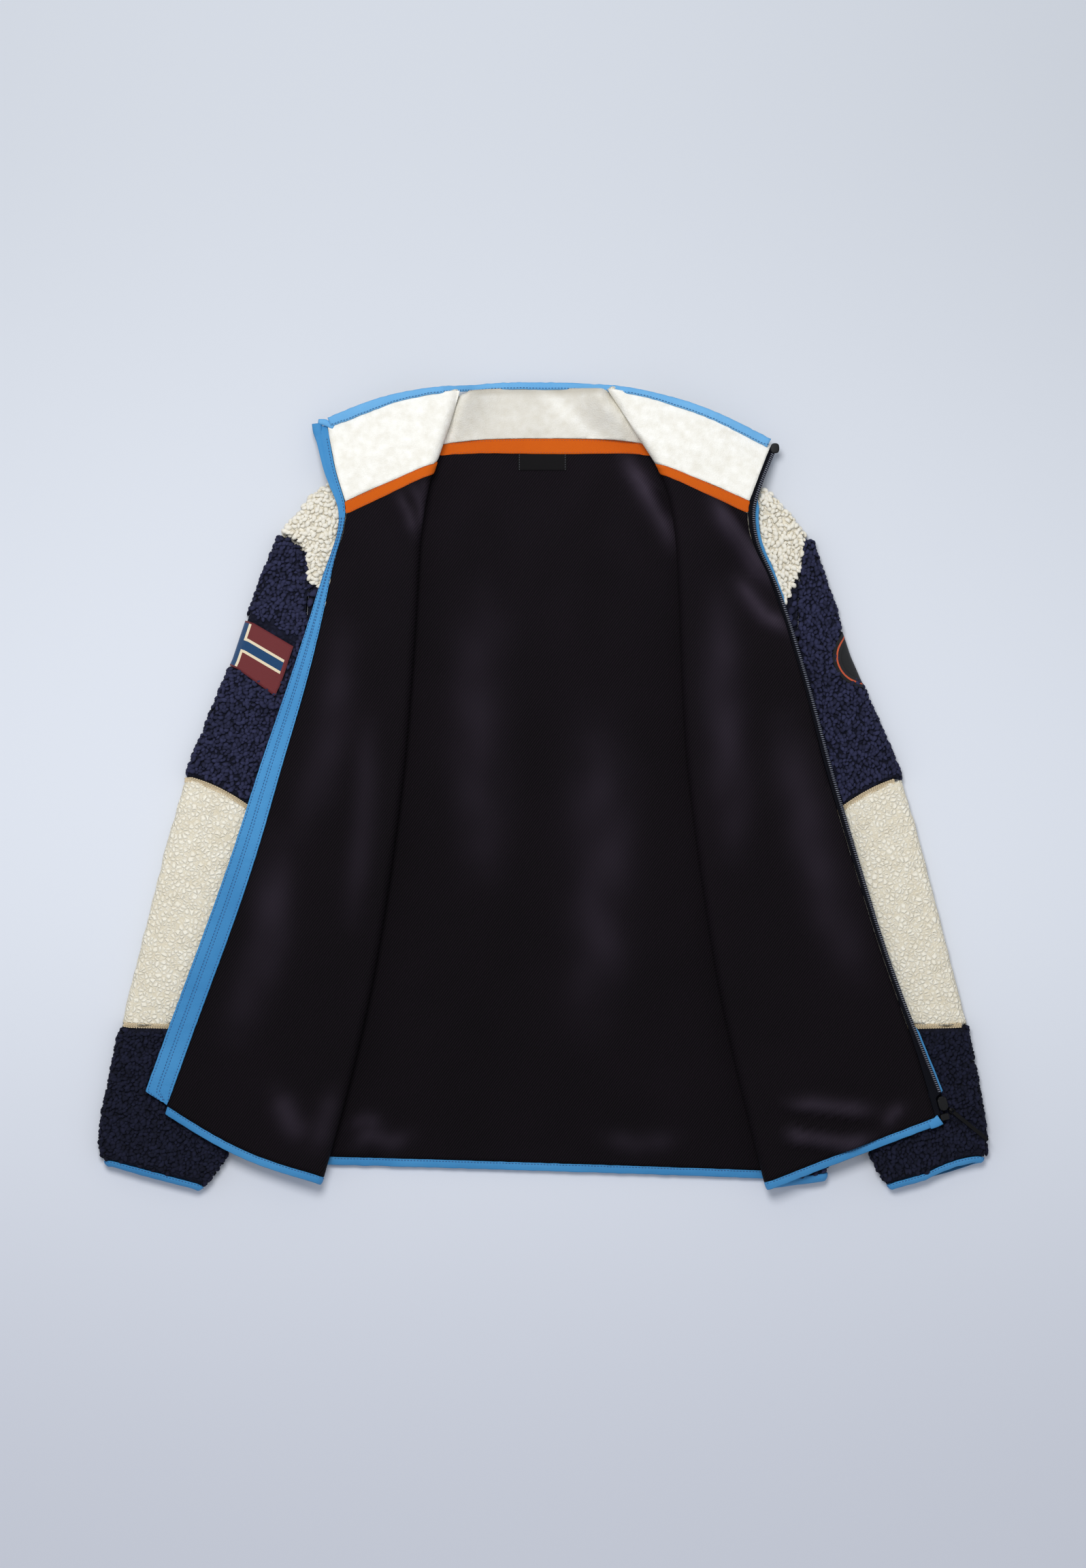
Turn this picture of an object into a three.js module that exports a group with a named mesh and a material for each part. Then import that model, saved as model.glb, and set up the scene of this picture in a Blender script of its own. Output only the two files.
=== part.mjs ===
// A zip-up sherpa fleece jacket lying flat on its back, opened, with both fronts folded back.
// Millimetres, +Z up. The collar points to +Y, "left" and "right" are -X and +X seen from above.
//
// The whole body is one folded wall. Each row across it is a path that starts at the left front
// edge, runs inwards with its lining up, turns under at the left crease, runs outwards below,
// turns at the left side, crosses the back, and does the same in mirror order on the right.
// The path is the boundary between fleece and lining: fleece grows to one side, lining to the
// other. Every body piece is a range of rows and columns of that one grid.

import * as THREE from 'three';

// ---- thicknesses and clearances ----
const FLEECE = 6; // sherpa with its pile
const LINING = 1; // brushed tricot
const COLLAR_PILE = 2.4; // white short-pile collar facing
const TAPE = 1.2; // woven neck tape, zip tape and patches
const HALF_GAP = 0.2; // half the space between fleece and lining
const SEAM = 0.5; // space between two pieces at a seam
const BACK_LEVEL = HALF_GAP + FLEECE; // height of the boundary path in the back
const CREASE_RADIUS = 8; // of the boundary path, where a front turns over
const SLEEVE_TOP = 15;

// ---- the body, one row per station from hem to collar top ----
// edge = front edge of the cloth, crease = where the front turns over, side = side seam,
// armhole or shoulder line, zip = width of the zip strip beyond the edge, under / top / edgeZ =
// heights of the boundary path below the fold, above it and at the front edge, curl = 1 where
// front and back are closed by a seam, 0 in the open armhole, bow = how far the folded-back
// front sags below a straight row, mid = y of the row in the middle of the back.
const COLUMNS = ['edgeX', 'edgeY', 'creaseX', 'creaseY', 'sideX', 'sideY', 'zip', 'bow'];
const LEFT = table(COLUMNS, [
  [-367, 67, -214, -3, -264, 20, 26, 9], // hem
  [-340, 143, -190, 83, -261, 90, 25, 3], // low hip
  [-310, 223, -166, 183, -256, 183, 25, 0], // hip
  [-279, 311, -149, 290, -249, 290, 24.5, 0], // waist
  [-255, 400, -135, 397, -244, 397, 22, 0], // underarm
  [-232, 474, -128, 484, -236, 484, 19.5, 0], // chest
  [-215, 544, -123, 557, -229, 580, 14, 0], // yoke seam
  [-208, 580, -121, 600, -231, 607, 11, 0], // sleeve head
  [-203, 604, -119, 627, -256, 625, 7, 0], // shoulder tip
  [-195, 627, -114, 660, -224, 667, 7, 0], // shoulder
  [-191, 652, -107, 691, -117, 714, 8, 0], // neck seam
  [-203, 690, -95, 724, -117, 736, 12, -3], // collar middle
  [-211, 735, -81, 768, -113, 753, 15, -6], // collar top
]);
const RIGHT = table(COLUMNS, [
  [383, 56, 216, -8, 280, 1, 15.5, 0],
  [362, 131, 193, 83, 276, 83, 6.5, 0],
  [331, 212, 170, 183, 270, 183, 6.2, 0],
  [304, 302, 154, 290, 261, 290, 6.6, 0],
  [276, 393, 140, 397, 253, 397, 7.5, 0],
  [258, 469, 135, 484, 249, 484, 6.4, 0],
  [236, 542, 133, 557, 251, 575, 6.6, 0],
  [220, 584, 131, 600, 253, 605, 8, 0],
  [209, 605, 129, 627, 257, 625, 8, 0],
  [201, 627, 124, 660, 217, 673, 8, 0],
  [199, 653, 114, 691, 125, 714, 8, 0],
  [210, 681, 90, 728, 121, 736, 6, -4],
  [223, 714, 63, 770, 110, 753, 7, -8],
]);
const HEIGHTS = table(['under', 'top', 'edgeZ', 'curl', 'mid'], [
  [9, 22, 21.8, 1, 9.5],
  [9, 22, 21.8, 1, 86],
  [9, 22, 21.8, 1, 183],
  [9, 22, 21.8, 1, 290],
  [9, 22, 21.8, 1, 397],
  [9, 22, 21.8, 0, 484],
  [9, 22, 21.8, 0, 577],
  [9, 22, 21.8, 0, 606],
  [9, 22, 22, 1, 625],
  [10.6, 23.6, 23.2, 1, 668],
  [12.2, 25.2, 24.6, 1, 713.5],
  [12.2, 25.2, 24.4, 1, 742],
  [12.2, 25.2, 13, 1, 771],
]);
const STATION = { hem: 0, underarm: 4, yoke: 6, head: 7, tip: 8, neck: 10, collarTop: 12 };

// ---- the sleeves, one row per ring from the shoulder to the cuff ----
// outer = the folded edge away from the body, inner = the seam edge; armhole = the body row
// that the ring's seam edge is sewn to, or null below the underarm; low = underside height.
const SLEEVE_COLUMNS = ['outerX', 'outerY', 'innerX', 'innerY', 'armhole', 'low'];
const SLEEVE = {
  left: table(SLEEVE_COLUMNS, [
    [-263, 615, 0, 0, 7.75, 0],
    [-272, 590, 0, 0, 7, 0],
    [-285, 558, 0, 0, 6, 0],
    [-303, 504, 0, 0, 5.5, 0],
    [-314, 480, 0, 0, 5, 0],
    [-343, 410, 0, 0, 4, 0],
    [-351, 388, -253, 340, null, 0], // elbow seam
    [-368, 330, -259, 290, null, 0],
    [-388, 250, -268, 217, null, 0],
    [-414, 145, -280, 142, null, 0], // lower seam
    [-427, 87, -291, 77, null, 0],
    [-438, 33, -304, 23, null, 0],
    [-432, 15, -331, -12, null, 0], // cuff
  ]),
  right: table(SLEEVE_COLUMNS, [
    [264, 615, 0, 0, 7.75, 0],
    [271, 590, 0, 0, 7, 0],
    [284, 556, 0, 0, 6, 2.6],
    [300, 507, 0, 0, 5.5, 2.6],
    [310, 484, 0, 0, 5, 2.6],
    [345, 408, 0, 0, 4, 0],
    [352, 387, 263, 340, null, 0],
    [370, 327, 272, 290, null, 0],
    [389, 250, 281, 217, null, 0],
    [416, 145, 293, 142, null, 0],
    [428, 83, 304, 77, null, 0],
    [437, 33, 317, 20, null, 0],
    [434, 17, 336, -11, null, 0],
  ]),
};
const ELBOW_RING = 6;
const LOWER_SEAM_RING = 9;
const CUFF_RING = 12;
const RINGS = [0, 1, 2, 2.5, 3, 3.5, 4, 5, 6, 7, 8, 9, 10, 11, 12];

// ---- creases in the loose lining: a ridge from one point to another ----
const CREASE_COLUMNS = ['x0', 'y0', 'x1', 'y1', 'height', 'halfWidth'];
const FRONT_CREASES = table(CREASE_COLUMNS, [
  [172, 650, 226, 580, 6, 17], // right, below the collar
  [188, 584, 240, 534, 4.5, 15],
  [241, 46, 300, 30, 5, 15], // right, above the hem
  [-142, 662, -124, 624, 4.5, 15], // left, below the collar
]);
const BACK_CREASES = table(CREASE_COLUMNS, [
  [84, 694, 110, 644, 2.2, 16], // right of the neck
]);

// ---- trim ----
const HEM_BINDING = 8.5;
const CUFF_BINDING = 7;
const COLLAR_BINDING = 5;
const TAPE_HALF_BACK = 6.2;
const TAPE_HALF_FRONT = 4.6;
const GUARD = 2.6; // thickness of the doubled tape behind the zip
const TEETH = { width: 3, fromEnd: 0.2, above: 1.6, low: 0.7, high: 0.9 };
const EDGING = { past: 2, below: 2.4, thickness: 2.4 }; // coloured strip under the zip tape
const HIDDEN_TAPE = { share: 0.72, below: 3.2 }; // left zip tape, under the guard
const LABEL = { width: 48, depth: 16, x: -0.7, top: 706, gap: 0.3, thickness: 0.9 };
// Patches on the sleeves: ring = where the flag starts along the outer edge, down = how far below
// the third ring the disc is centred, wrap = how far round that edge the flag reaches or the disc
// is centred, turn = degrees that the flag is turned from square to the edge.
const FLAG = { along: 47, around: 62, ring: 2.3, wrap: 17, turn: -11, gap: 0.7 };
const ROUND_PATCH = { radius: 30, down: 53, wrap: 26.5, turn: 0, gap: 1.5 };
const PATCH_THICKNESS = 0.8;
const SLIDER = { x: 390.8, y: 69.5, z: 18.6, length: 14, width: 9, height: 6, corner: 2.5 };
const BOX = { x: 393, y: 56.2, z: 19.2, length: 6, width: 8, height: 4, corner: 1.2 };
const TOP_STOP = { width: 2.6, height: 1.4, above: 4.2 };
const PULL = {
  reach: 10.6, z: 18, angle: -39, length: 50, width: 6, thickness: 1.6, play: 0.4,
};
const BAIL = { width: 2.4, wire: 1.2, clearance: 0.65 };

// ---- colours ----
const CREAM = cloth(0xe6dcc4);
const NAVY = cloth(0x202142);
const BLACK_LINING = cloth(0x120e16, 0.8);
const WHITE_PILE = cloth(0xefece2);
const LIGHT_BLUE = cloth(0x5cabe0, 0.6);
const ORANGE = cloth(0xcd5f14, 0.7);
const BLACK_TAPE = cloth(0x1a1d27, 0.7);
const DARK_PLASTIC = new THREE.MeshStandardMaterial({ color: 0x0d0f16, roughness: 0.35 });
const DARK_RED = cloth(0x6b2a2c, 0.5);
const CHARCOAL = cloth(0x2c2c2c, 0.7);

const jacket = new THREE.Group();

// ---------------------------------------------------------------- helpers

function table(columns, rows) {
  return rows.map((row) => Object.fromEntries(columns.map((name, i) => [name, row[i]])));
}

function cloth(color, roughness = 0.95) {
  return new THREE.MeshStandardMaterial({ color, roughness, metalness: 0 });
}

function lerp(a, b, t) {
  return a + (b - a) * t;
}

function smooth(t) {
  const s = Math.min(1, Math.max(0, t));
  return s * s * (3 - 2 * s);
}

// Reads a table between its rows.
function between(rows, at) {
  const i = Math.min(rows.length - 2, Math.max(0, Math.floor(at)));
  const row = {};
  for (const name of Object.keys(rows[i])) {
    row[name] = lerp(rows[i][name], rows[i + 1][name], at - i);
  }
  return row;
}

// Evenly spaced numbers from a to b.
function steps(a, b, count) {
  return Array.from({ length: count + 1 }, (_, i) => lerp(a, b, i / count));
}

// The direction that the cloth's lining side faces, at each point of a grid.
function gridNormals(grid) {
  return grid.map((row, i) => row.map((_, j) => {
    const along = row[Math.min(j + 1, row.length - 1)].clone().sub(row[Math.max(j - 1, 0)]);
    const up = grid[Math.min(i + 1, grid.length - 1)][j].clone()
      .sub(grid[Math.max(i - 1, 0)][j]);
    return along.cross(up).normalize();
  }));
}

// A wall between two distances from a grid of points, closed at its four edges.
function wallGeometry(grid, from, to, lift = () => 0, normals = gridNormals(grid)) {
  const rows = grid.length;
  const columns = grid[0].length;
  const positions = [];
  const index = [];
  for (const distance of [from, to]) {
    for (let i = 0; i < rows; i++) {
      for (let j = 0; j < columns; j++) {
        const offset = typeof distance === 'function' ? distance(i, j) : distance;
        const p = grid[i][j].clone().addScaledVector(normals[i][j], offset);
        positions.push(p.x, p.y, p.z + lift(p));
      }
    }
  }
  const at = (face, i, j) => face * rows * columns + i * columns + j;
  const quad = (a, b, c, d) => index.push(a, b, c, a, c, d);
  for (let i = 0; i < rows - 1; i++) {
    for (let j = 0; j < columns - 1; j++) {
      quad(at(1, i, j), at(1, i, j + 1), at(1, i + 1, j + 1), at(1, i + 1, j));
      quad(at(0, i, j), at(0, i + 1, j), at(0, i + 1, j + 1), at(0, i, j + 1));
    }
  }
  for (let j = 0; j < columns - 1; j++) {
    quad(at(0, 0, j), at(0, 0, j + 1), at(1, 0, j + 1), at(1, 0, j));
    quad(at(1, rows - 1, j), at(1, rows - 1, j + 1), at(0, rows - 1, j + 1), at(0, rows - 1, j));
  }
  for (let i = 0; i < rows - 1; i++) {
    quad(at(0, i, 0), at(1, i, 0), at(1, i + 1, 0), at(0, i + 1, 0));
    quad(at(1, i, columns - 1), at(0, i, columns - 1), at(0, i + 1, columns - 1),
      at(1, i + 1, columns - 1));
  }
  const geometry = new THREE.BufferGeometry();
  geometry.setAttribute('position', new THREE.Float32BufferAttribute(positions, 3));
  geometry.setIndex(index);
  return facingOut(geometry);
}

// Turns every triangle over if the body is inside out.
function facingOut(geometry) {
  const p = geometry.attributes.position;
  const index = geometry.index;
  const [a, b, c] = [new THREE.Vector3(), new THREE.Vector3(), new THREE.Vector3()];
  let volume = 0;
  for (let i = 0; i < index.count; i += 3) {
    a.fromBufferAttribute(p, index.getX(i));
    b.fromBufferAttribute(p, index.getX(i + 1));
    c.fromBufferAttribute(p, index.getX(i + 2));
    volume += a.dot(b.cross(c));
  }
  if (volume < 0) {
    for (let i = 0; i < index.count; i += 3) {
      const first = index.getX(i);
      index.setX(i, index.getX(i + 1));
      index.setX(i + 1, first);
    }
  }
  geometry.computeVertexNormals();
  return geometry;
}

function add(name, geometry, material) {
  const mesh = new THREE.Mesh(geometry, material);
  mesh.name = name;
  jacket.add(mesh);
  return mesh;
}

// ---------------------------------------------------------------- the body's path

const FOLDED_STEPS = 8;
const UNDER_STEPS = 2;
const BACK_STEPS = 6;
const TURN_ANGLES = [90, 48, 6, -6, -48, -90];
const OPEN_REACH = [0, 0.5, 1, 1, 0.5, 0]; // how far those points stand out in the open armhole
const SETTLES_IN = 40; // width over which a fold comes down to the layers below
const EDGE_FROM = 0.45; // share of a front's width after which it takes its edge height
const FOLD_ANGLES = [90, 60, 30, 0, -30, -60, -90];

function flat(x, y) {
  return new THREE.Vector3(x, y, 0);
}

// The points of one side of a row, from the front edge to the side turn's last point.
function sidePath(rows, at) {
  const row = between(rows, at);
  const height = between(HEIGHTS, at);
  const edge = flat(row.edgeX, row.edgeY);
  const side = flat(row.sideX, row.sideY);
  const crease = flat(row.creaseX, row.creaseY);
  const outTop = edge.clone().sub(crease).normalize();
  const outUnder = side.clone().sub(crease).normalize();
  const start = HALF_GAP + LINING;
  const centreZ = height.under + CREASE_RADIUS;
  const width = edge.distanceTo(crease);
  const points = [];
  for (const t of steps(1, 0, FOLDED_STEPS)) {
    const reach = lerp(start + CREASE_RADIUS, width, t);
    const p = crease.clone().addScaledVector(outTop, reach);
    const past = reach - start - CREASE_RADIUS;
    const settled = lerp(centreZ + CREASE_RADIUS, height.top, smooth(past / SETTLES_IN));
    p.z = lerp(settled, height.edgeZ, smooth((t - EDGE_FROM) / (1 - EDGE_FROM)));
    p.y -= row.bow * Math.sin(Math.PI * t);
    points.push(p);
  }
  for (const angle of FOLD_ANGLES.slice(1)) {
    const a = THREE.MathUtils.degToRad(angle);
    const out = angle > 0 ? outTop : outUnder;
    const p = crease.clone().addScaledVector(out, start + CREASE_RADIUS * (1 - Math.cos(a)));
    p.z = centreZ + CREASE_RADIUS * Math.sin(a);
    points.push(p);
  }
  const bend = (height.under - BACK_LEVEL) / 2;
  const turnIn = bend + HALF_GAP + FLEECE;
  const turn = side.clone().addScaledVector(outUnder, -turnIn);
  const underStart = points[points.length - 1].clone();
  for (const t of steps(0, 1, UNDER_STEPS).slice(1)) {
    const p = underStart.clone().lerp(turn, t);
    p.z = height.under;
    points.push(p);
  }
  const closed = height.curl > 0.99;
  TURN_ANGLES.forEach((angle, i) => {
    const a = THREE.MathUtils.degToRad(angle);
    const z = (height.under + BACK_LEVEL) / 2 + bend * Math.sin(a);
    const open = (turnIn - SEAM) * OPEN_REACH[i];
    const p = turn.clone().addScaledVector(outUnder, closed ? bend * Math.cos(a) : open);
    p.z = closed ? z : angle > 0 ? height.under : BACK_LEVEL;
    if (i > 0) points.push(p);
  });
  return points;
}

const TURN_START = FOLDED_STEPS + FOLD_ANGLES.length - 1 + UNDER_STEPS;
const HALF_TURN = TURN_START + 2; // the front's last point at the side seam
const SIDE_POINTS = TURN_START + TURN_ANGLES.length;

// One whole row, from the left front edge round to the right front edge.
function fullRow(at) {
  const left = sidePath(LEFT, at);
  const right = sidePath(RIGHT, at);
  const a = left[left.length - 1];
  const b = right[right.length - 1];
  const middle = between(HEIGHTS, at).mid;
  const back = steps(0, 1, BACK_STEPS).slice(1, -1).map((t) => {
    const p = a.clone().lerp(b, t);
    p.y += (middle - (a.y + b.y) / 2) * (1 - (2 * t - 1) ** 4);
    return p;
  });
  return [...left, ...back, ...right.reverse()];
}

const ROW_POINTS = 2 * SIDE_POINTS + BACK_STEPS - 1;
const ROWS = [0, 0.35, 1, 2, 3, 4, 4.5, 5, 6, 7, 7.5, 8, 8.5, 9, 9.5, 10, 10.5, 11, 11.5, 12];
const SPAN = {
  leftFront: [0, HALF_TURN],
  leftLining: [0, TURN_START],
  back: [HALF_TURN + 1, ROW_POINTS - HALF_TURN - 2],
  backLining: [SIDE_POINTS - 1, ROW_POINTS - SIDE_POINTS],
  rightFront: [ROW_POINTS - HALF_TURN - 1, ROW_POINTS - 1],
  rightLining: [ROW_POINTS - TURN_START - 1, ROW_POINTS - 1],
  collar: [0, ROW_POINTS - 1],
};

const GRID = ROWS.map((at) => fullRow(at));
const NORMALS = gridNormals(GRID);
const DOWN = new THREE.Vector3(0, 0, -1);
const UP = new THREE.Vector3(0, 0, 1);

// In the open armhole the front and the back end in square edges, not in a turn.
ROWS.forEach((at, i) => {
  if (between(HEIGHTS, at).curl > 0.99) return;
  TURN_ANGLES.forEach((angle, k) => {
    const normal = angle > 0 ? DOWN : UP;
    NORMALS[i][TURN_START + k].copy(normal);
    NORMALS[i][ROW_POINTS - 1 - TURN_START - k].copy(normal);
  });
});

// Moves a row of points towards another row by a distance.
function shifted(row, towards, distance) {
  return row.map((p, j) => {
    const d = typeof distance === 'function' ? distance(j) : distance;
    const step = towards[j].clone().sub(p);
    return p.clone().addScaledVector(step, d / Math.max(1e-6, step.length()));
  });
}

// Draws the first and last rows of a grid in by their seam allowances.
function drawnIn(grid, startGap, endGap) {
  const n = grid.length;
  const rows = [...grid];
  rows[0] = shifted(grid[0], grid[1], startGap);
  rows[n - 1] = shifted(grid[n - 1], grid[n - 2], endGap);
  return rows;
}

// A wall on the body's grid, from one station to another and over a range of columns.
function bodyWall([from, to], [first, last], [startGap, endGap], [low, high], lift) {
  const start = ROWS.indexOf(from);
  const end = ROWS.indexOf(to) + 1;
  const cut = (rows) => rows.map((row) => row.slice(first, last + 1));
  const grid = cut(drawnIn(GRID.slice(start, end), startGap, endGap));
  return wallGeometry(grid, low, high, lift, cut(NORMALS.slice(start, end)));
}

// The height that the loose lining stands off where it is creased. A crease runs out over a part
// of its length at each end.
const CREASE_REACH = 0.62;
const CREASE_RUN_OUT = 0.3;
function creaseHeight(creases, p) {
  let height = 0;
  for (const c of creases) {
    const dx = c.x1 - c.x0;
    const dy = c.y1 - c.y0;
    const t = ((p.x - c.x0) * dx + (p.y - c.y0) * dy) / (dx * dx + dy * dy);
    const away = Math.hypot(p.x - c.x0 - t * dx, p.y - c.y0 - t * dy);
    const ends = smooth((CREASE_REACH - Math.abs(t - 0.5)) / CREASE_RUN_OUT);
    height = Math.max(height, c.height * ends * smooth(1 - away / c.halfWidth));
  }
  return height;
}

const onFleece = [-HALF_GAP - FLEECE, -HALF_GAP];
const onLining = [HALF_GAP, HALF_GAP + LINING];

// ---------------------------------------------------------------- body pieces

const PIECES = [
  { name: 'left_front', cloth: SPAN.leftFront, lining: SPAN.leftLining, tape: TAPE_HALF_FRONT },
  { name: 'back', cloth: SPAN.back, lining: SPAN.backLining, tape: TAPE_HALF_BACK },
  { name: 'right_front', cloth: SPAN.rightFront, lining: SPAN.rightLining, tape: TAPE_HALF_FRONT },
];
const lowerSpan = [STATION.hem, STATION.yoke];
const yokeSpan = [STATION.yoke, STATION.neck];
const wholeSpan = [STATION.hem, STATION.neck];
const collarSpan = [STATION.neck, STATION.collarTop];
const halfSeam = SEAM / 2;
const UNDER_TAPE = 3.2; // seam allowance of the sherpa at the neck, where the tape covers it
const BESIDE_TAPE = 1.8; // space between the neck tape and the lining or pile next to it
const FOLD_MIDDLE = 18; // height between the upper and the lower layer of a folded front

for (const piece of PIECES) {
  add(`${piece.name}_lower`, bodyWall(lowerSpan, piece.cloth, [0, halfSeam], onFleece), NAVY);
  add(`${piece.name}_yoke`, bodyWall(yokeSpan, piece.cloth, [halfSeam, UNDER_TAPE], onFleece), CREAM);
  const creased = (p) => {
    if (piece.name === 'back') return creaseHeight(BACK_CREASES, p);
    return p.z > FOLD_MIDDLE ? creaseHeight(FRONT_CREASES, p) : 0;
  };
  add(`${piece.name}_lining`,
    bodyWall(wholeSpan, piece.lining, [0, piece.tape + BESIDE_TAPE], onLining, creased),
    BLACK_LINING);
}

// Collar: sherpa outside, white pile inside, one wall round the neck with two creases.
add('collar_outer', bodyWall(collarSpan, SPAN.collar, [UNDER_TAPE, 0], onFleece), CREAM);
const tapeHalf = (j) => {
  const inBack = Math.min(j, ROW_POINTS - 1 - j) > HALF_TURN;
  return inBack ? TAPE_HALF_BACK : TAPE_HALF_FRONT;
};
add('collar_inner', bodyWall(collarSpan, SPAN.collar, [(j) => tapeHalf(j) + BESIDE_TAPE, 0],
  [HALF_GAP, HALF_GAP + COLLAR_PILE]), WHITE_PILE);

// Neck tape: lies over the neck seam on the inside, all the way round.
const neckIndex = ROWS.indexOf(STATION.neck);
const neckRow = GRID[neckIndex];
const tapeGrid = [
  shifted(neckRow, GRID[neckIndex - 1], tapeHalf),
  neckRow,
  shifted(neckRow, GRID[neckIndex + 1], tapeHalf),
];
const neckNormals = NORMALS.slice(neckIndex - 1, neckIndex + 2);
add('neck_tape',
  wallGeometry(tapeGrid, HALF_GAP, HALF_GAP + TAPE, () => 0, neckNormals.map(() => neckNormals[1])),
  ORANGE);

// ---------------------------------------------------------------- bindings

// A folded tape past the edge row of a grid: as thick as all the layers, rounded outside.
function binding(edge, inner, normals, gap, width, low, high) {
  const outward = edge.map((p, j) => p.clone().multiplyScalar(2).sub(inner[j]));
  const rows = [gap, width * 0.55, width].map((d) => shifted(edge, outward, d));
  return wallGeometry(rows, low, high, () => 0, rows.map(() => normals));
}

const LOW = [-HALF_GAP - FLEECE, -HALF_GAP - FLEECE, -0.5 * FLEECE];
const HEM_HIGH = [HALF_GAP + LINING, HALF_GAP + LINING + 0.2, 0];
for (const piece of PIECES) {
  const cut = (row) => row.slice(piece.cloth[0], piece.cloth[1] + 1);
  const high = (i, j) => {
    const column = j + piece.cloth[0];
    const inTurn = Math.min(column, ROW_POINTS - 1 - column) > TURN_START
      && (column < SIDE_POINTS - 1 || column > ROW_POINTS - SIDE_POINTS);
    return inTurn ? 0 : HEM_HIGH[i];
  };
  add(`hem_binding_${piece.name}`, binding(cut(GRID[0]), cut(GRID[1]), cut(NORMALS[0]), SEAM,
    HEM_BINDING, (i) => LOW[i], high), LIGHT_BLUE);
}
const topIndex = ROWS.length - 1;
const collarHigh = [HALF_GAP + COLLAR_PILE, HALF_GAP + COLLAR_PILE, 0.4];
// Inside the collar's creases the layers fan out, so the binding is thinner there and further off.
const inCrease = (j) => {
  const fromEdge = Math.min(j, ROW_POINTS - 1 - j);
  return fromEdge >= FOLDED_STEPS && fromEdge < SIDE_POINTS;
};
const collarGap = (j) => (inCrease(j) ? 5 * SEAM : SEAM);
const collarLow = (i, j) => (inCrease(j) ? -0.3 * FLEECE : LOW[i]);
add('collar_binding', binding(GRID[topIndex], GRID[topIndex - 1], NORMALS[topIndex],
  collarGap, COLLAR_BINDING + SEAM, collarLow, (i) => collarHigh[i]), LIGHT_BLUE);

// ---------------------------------------------------------------- front edges and zip

const STRIP_ROWS = [0, 0.23, 0.26, 1, 2, 3, 4, 5, 6, 7, 8, 9, 10, 10.5, 11, 11.5, 12];
const BESIDE_SLIDER = 5.9; // width of the tape that runs past the slider
const SLIDER_END = 0.25; // station where the zip meets the slider

// A strip beside a front edge, between two distances from it (fractions of the zip width or mm).
function edgeStrip(rows, at, from, to, drop = 0, count = 2) {
  return at.map((station) => {
    const row = between(rows, station);
    const path = sidePath(rows, station);
    const out = path[0].clone().sub(path[1]).setZ(0).normalize();
    return steps(from(row, station), to(row, station), count).map((d) => {
      const p = path[0].clone().addScaledVector(out, d);
      p.z -= drop;
      return p;
    });
  });
}

const past = (d) => () => d;
const guardGrid = edgeStrip(LEFT, STRIP_ROWS, past(SEAM), (row) => row.zip, 0, 3);
add('zip_guard', wallGeometry(guardGrid, -GUARD / 2, GUARD / 2), LIGHT_BLUE);
const hiddenTape = edgeStrip(LEFT, STRIP_ROWS, past(SEAM), (row) => row.zip * HIDDEN_TAPE.share,
  HIDDEN_TAPE.below);
add('zip_tape_left', wallGeometry(hiddenTape, -TAPE / 2, TAPE / 2), BLACK_TAPE);

const tapeRight = edgeStrip(RIGHT, STRIP_ROWS, past(SEAM),
  (row, at) => (at < SLIDER_END ? BESIDE_SLIDER : row.zip));
add('zip_tape_right', wallGeometry(tapeRight, -TAPE / 2, TAPE / 2), BLACK_TAPE);
const teethRows = STRIP_ROWS.filter((at) => at > SLIDER_END);
const teeth = edgeStrip(RIGHT, teethRows, (row) => row.zip - TEETH.fromEnd - TEETH.width,
  (row) => row.zip - TEETH.fromEnd, -TEETH.above);
add('zip_teeth', wallGeometry(teeth, -TEETH.low, TEETH.high), DARK_PLASTIC);
const edging = edgeStrip(RIGHT, teethRows, past(SEAM), (row) => row.zip + EDGING.past,
  EDGING.below);
add('zip_edging_right', wallGeometry(edging, -EDGING.thickness / 2, EDGING.thickness / 2),
  LIGHT_BLUE);

// ---------------------------------------------------------------- sleeves

const SEAM_ANGLES = [173, 132, 90]; // of the closed seam edge, up to where the flat top starts
const SEAM_POINTS = SEAM_ANGLES.length;
const ACROSS_POINTS = 4;
const ARC_STEPS = 6;
const SEAM_GAP = 0.2; // between an open sleeve head and the armhole

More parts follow.
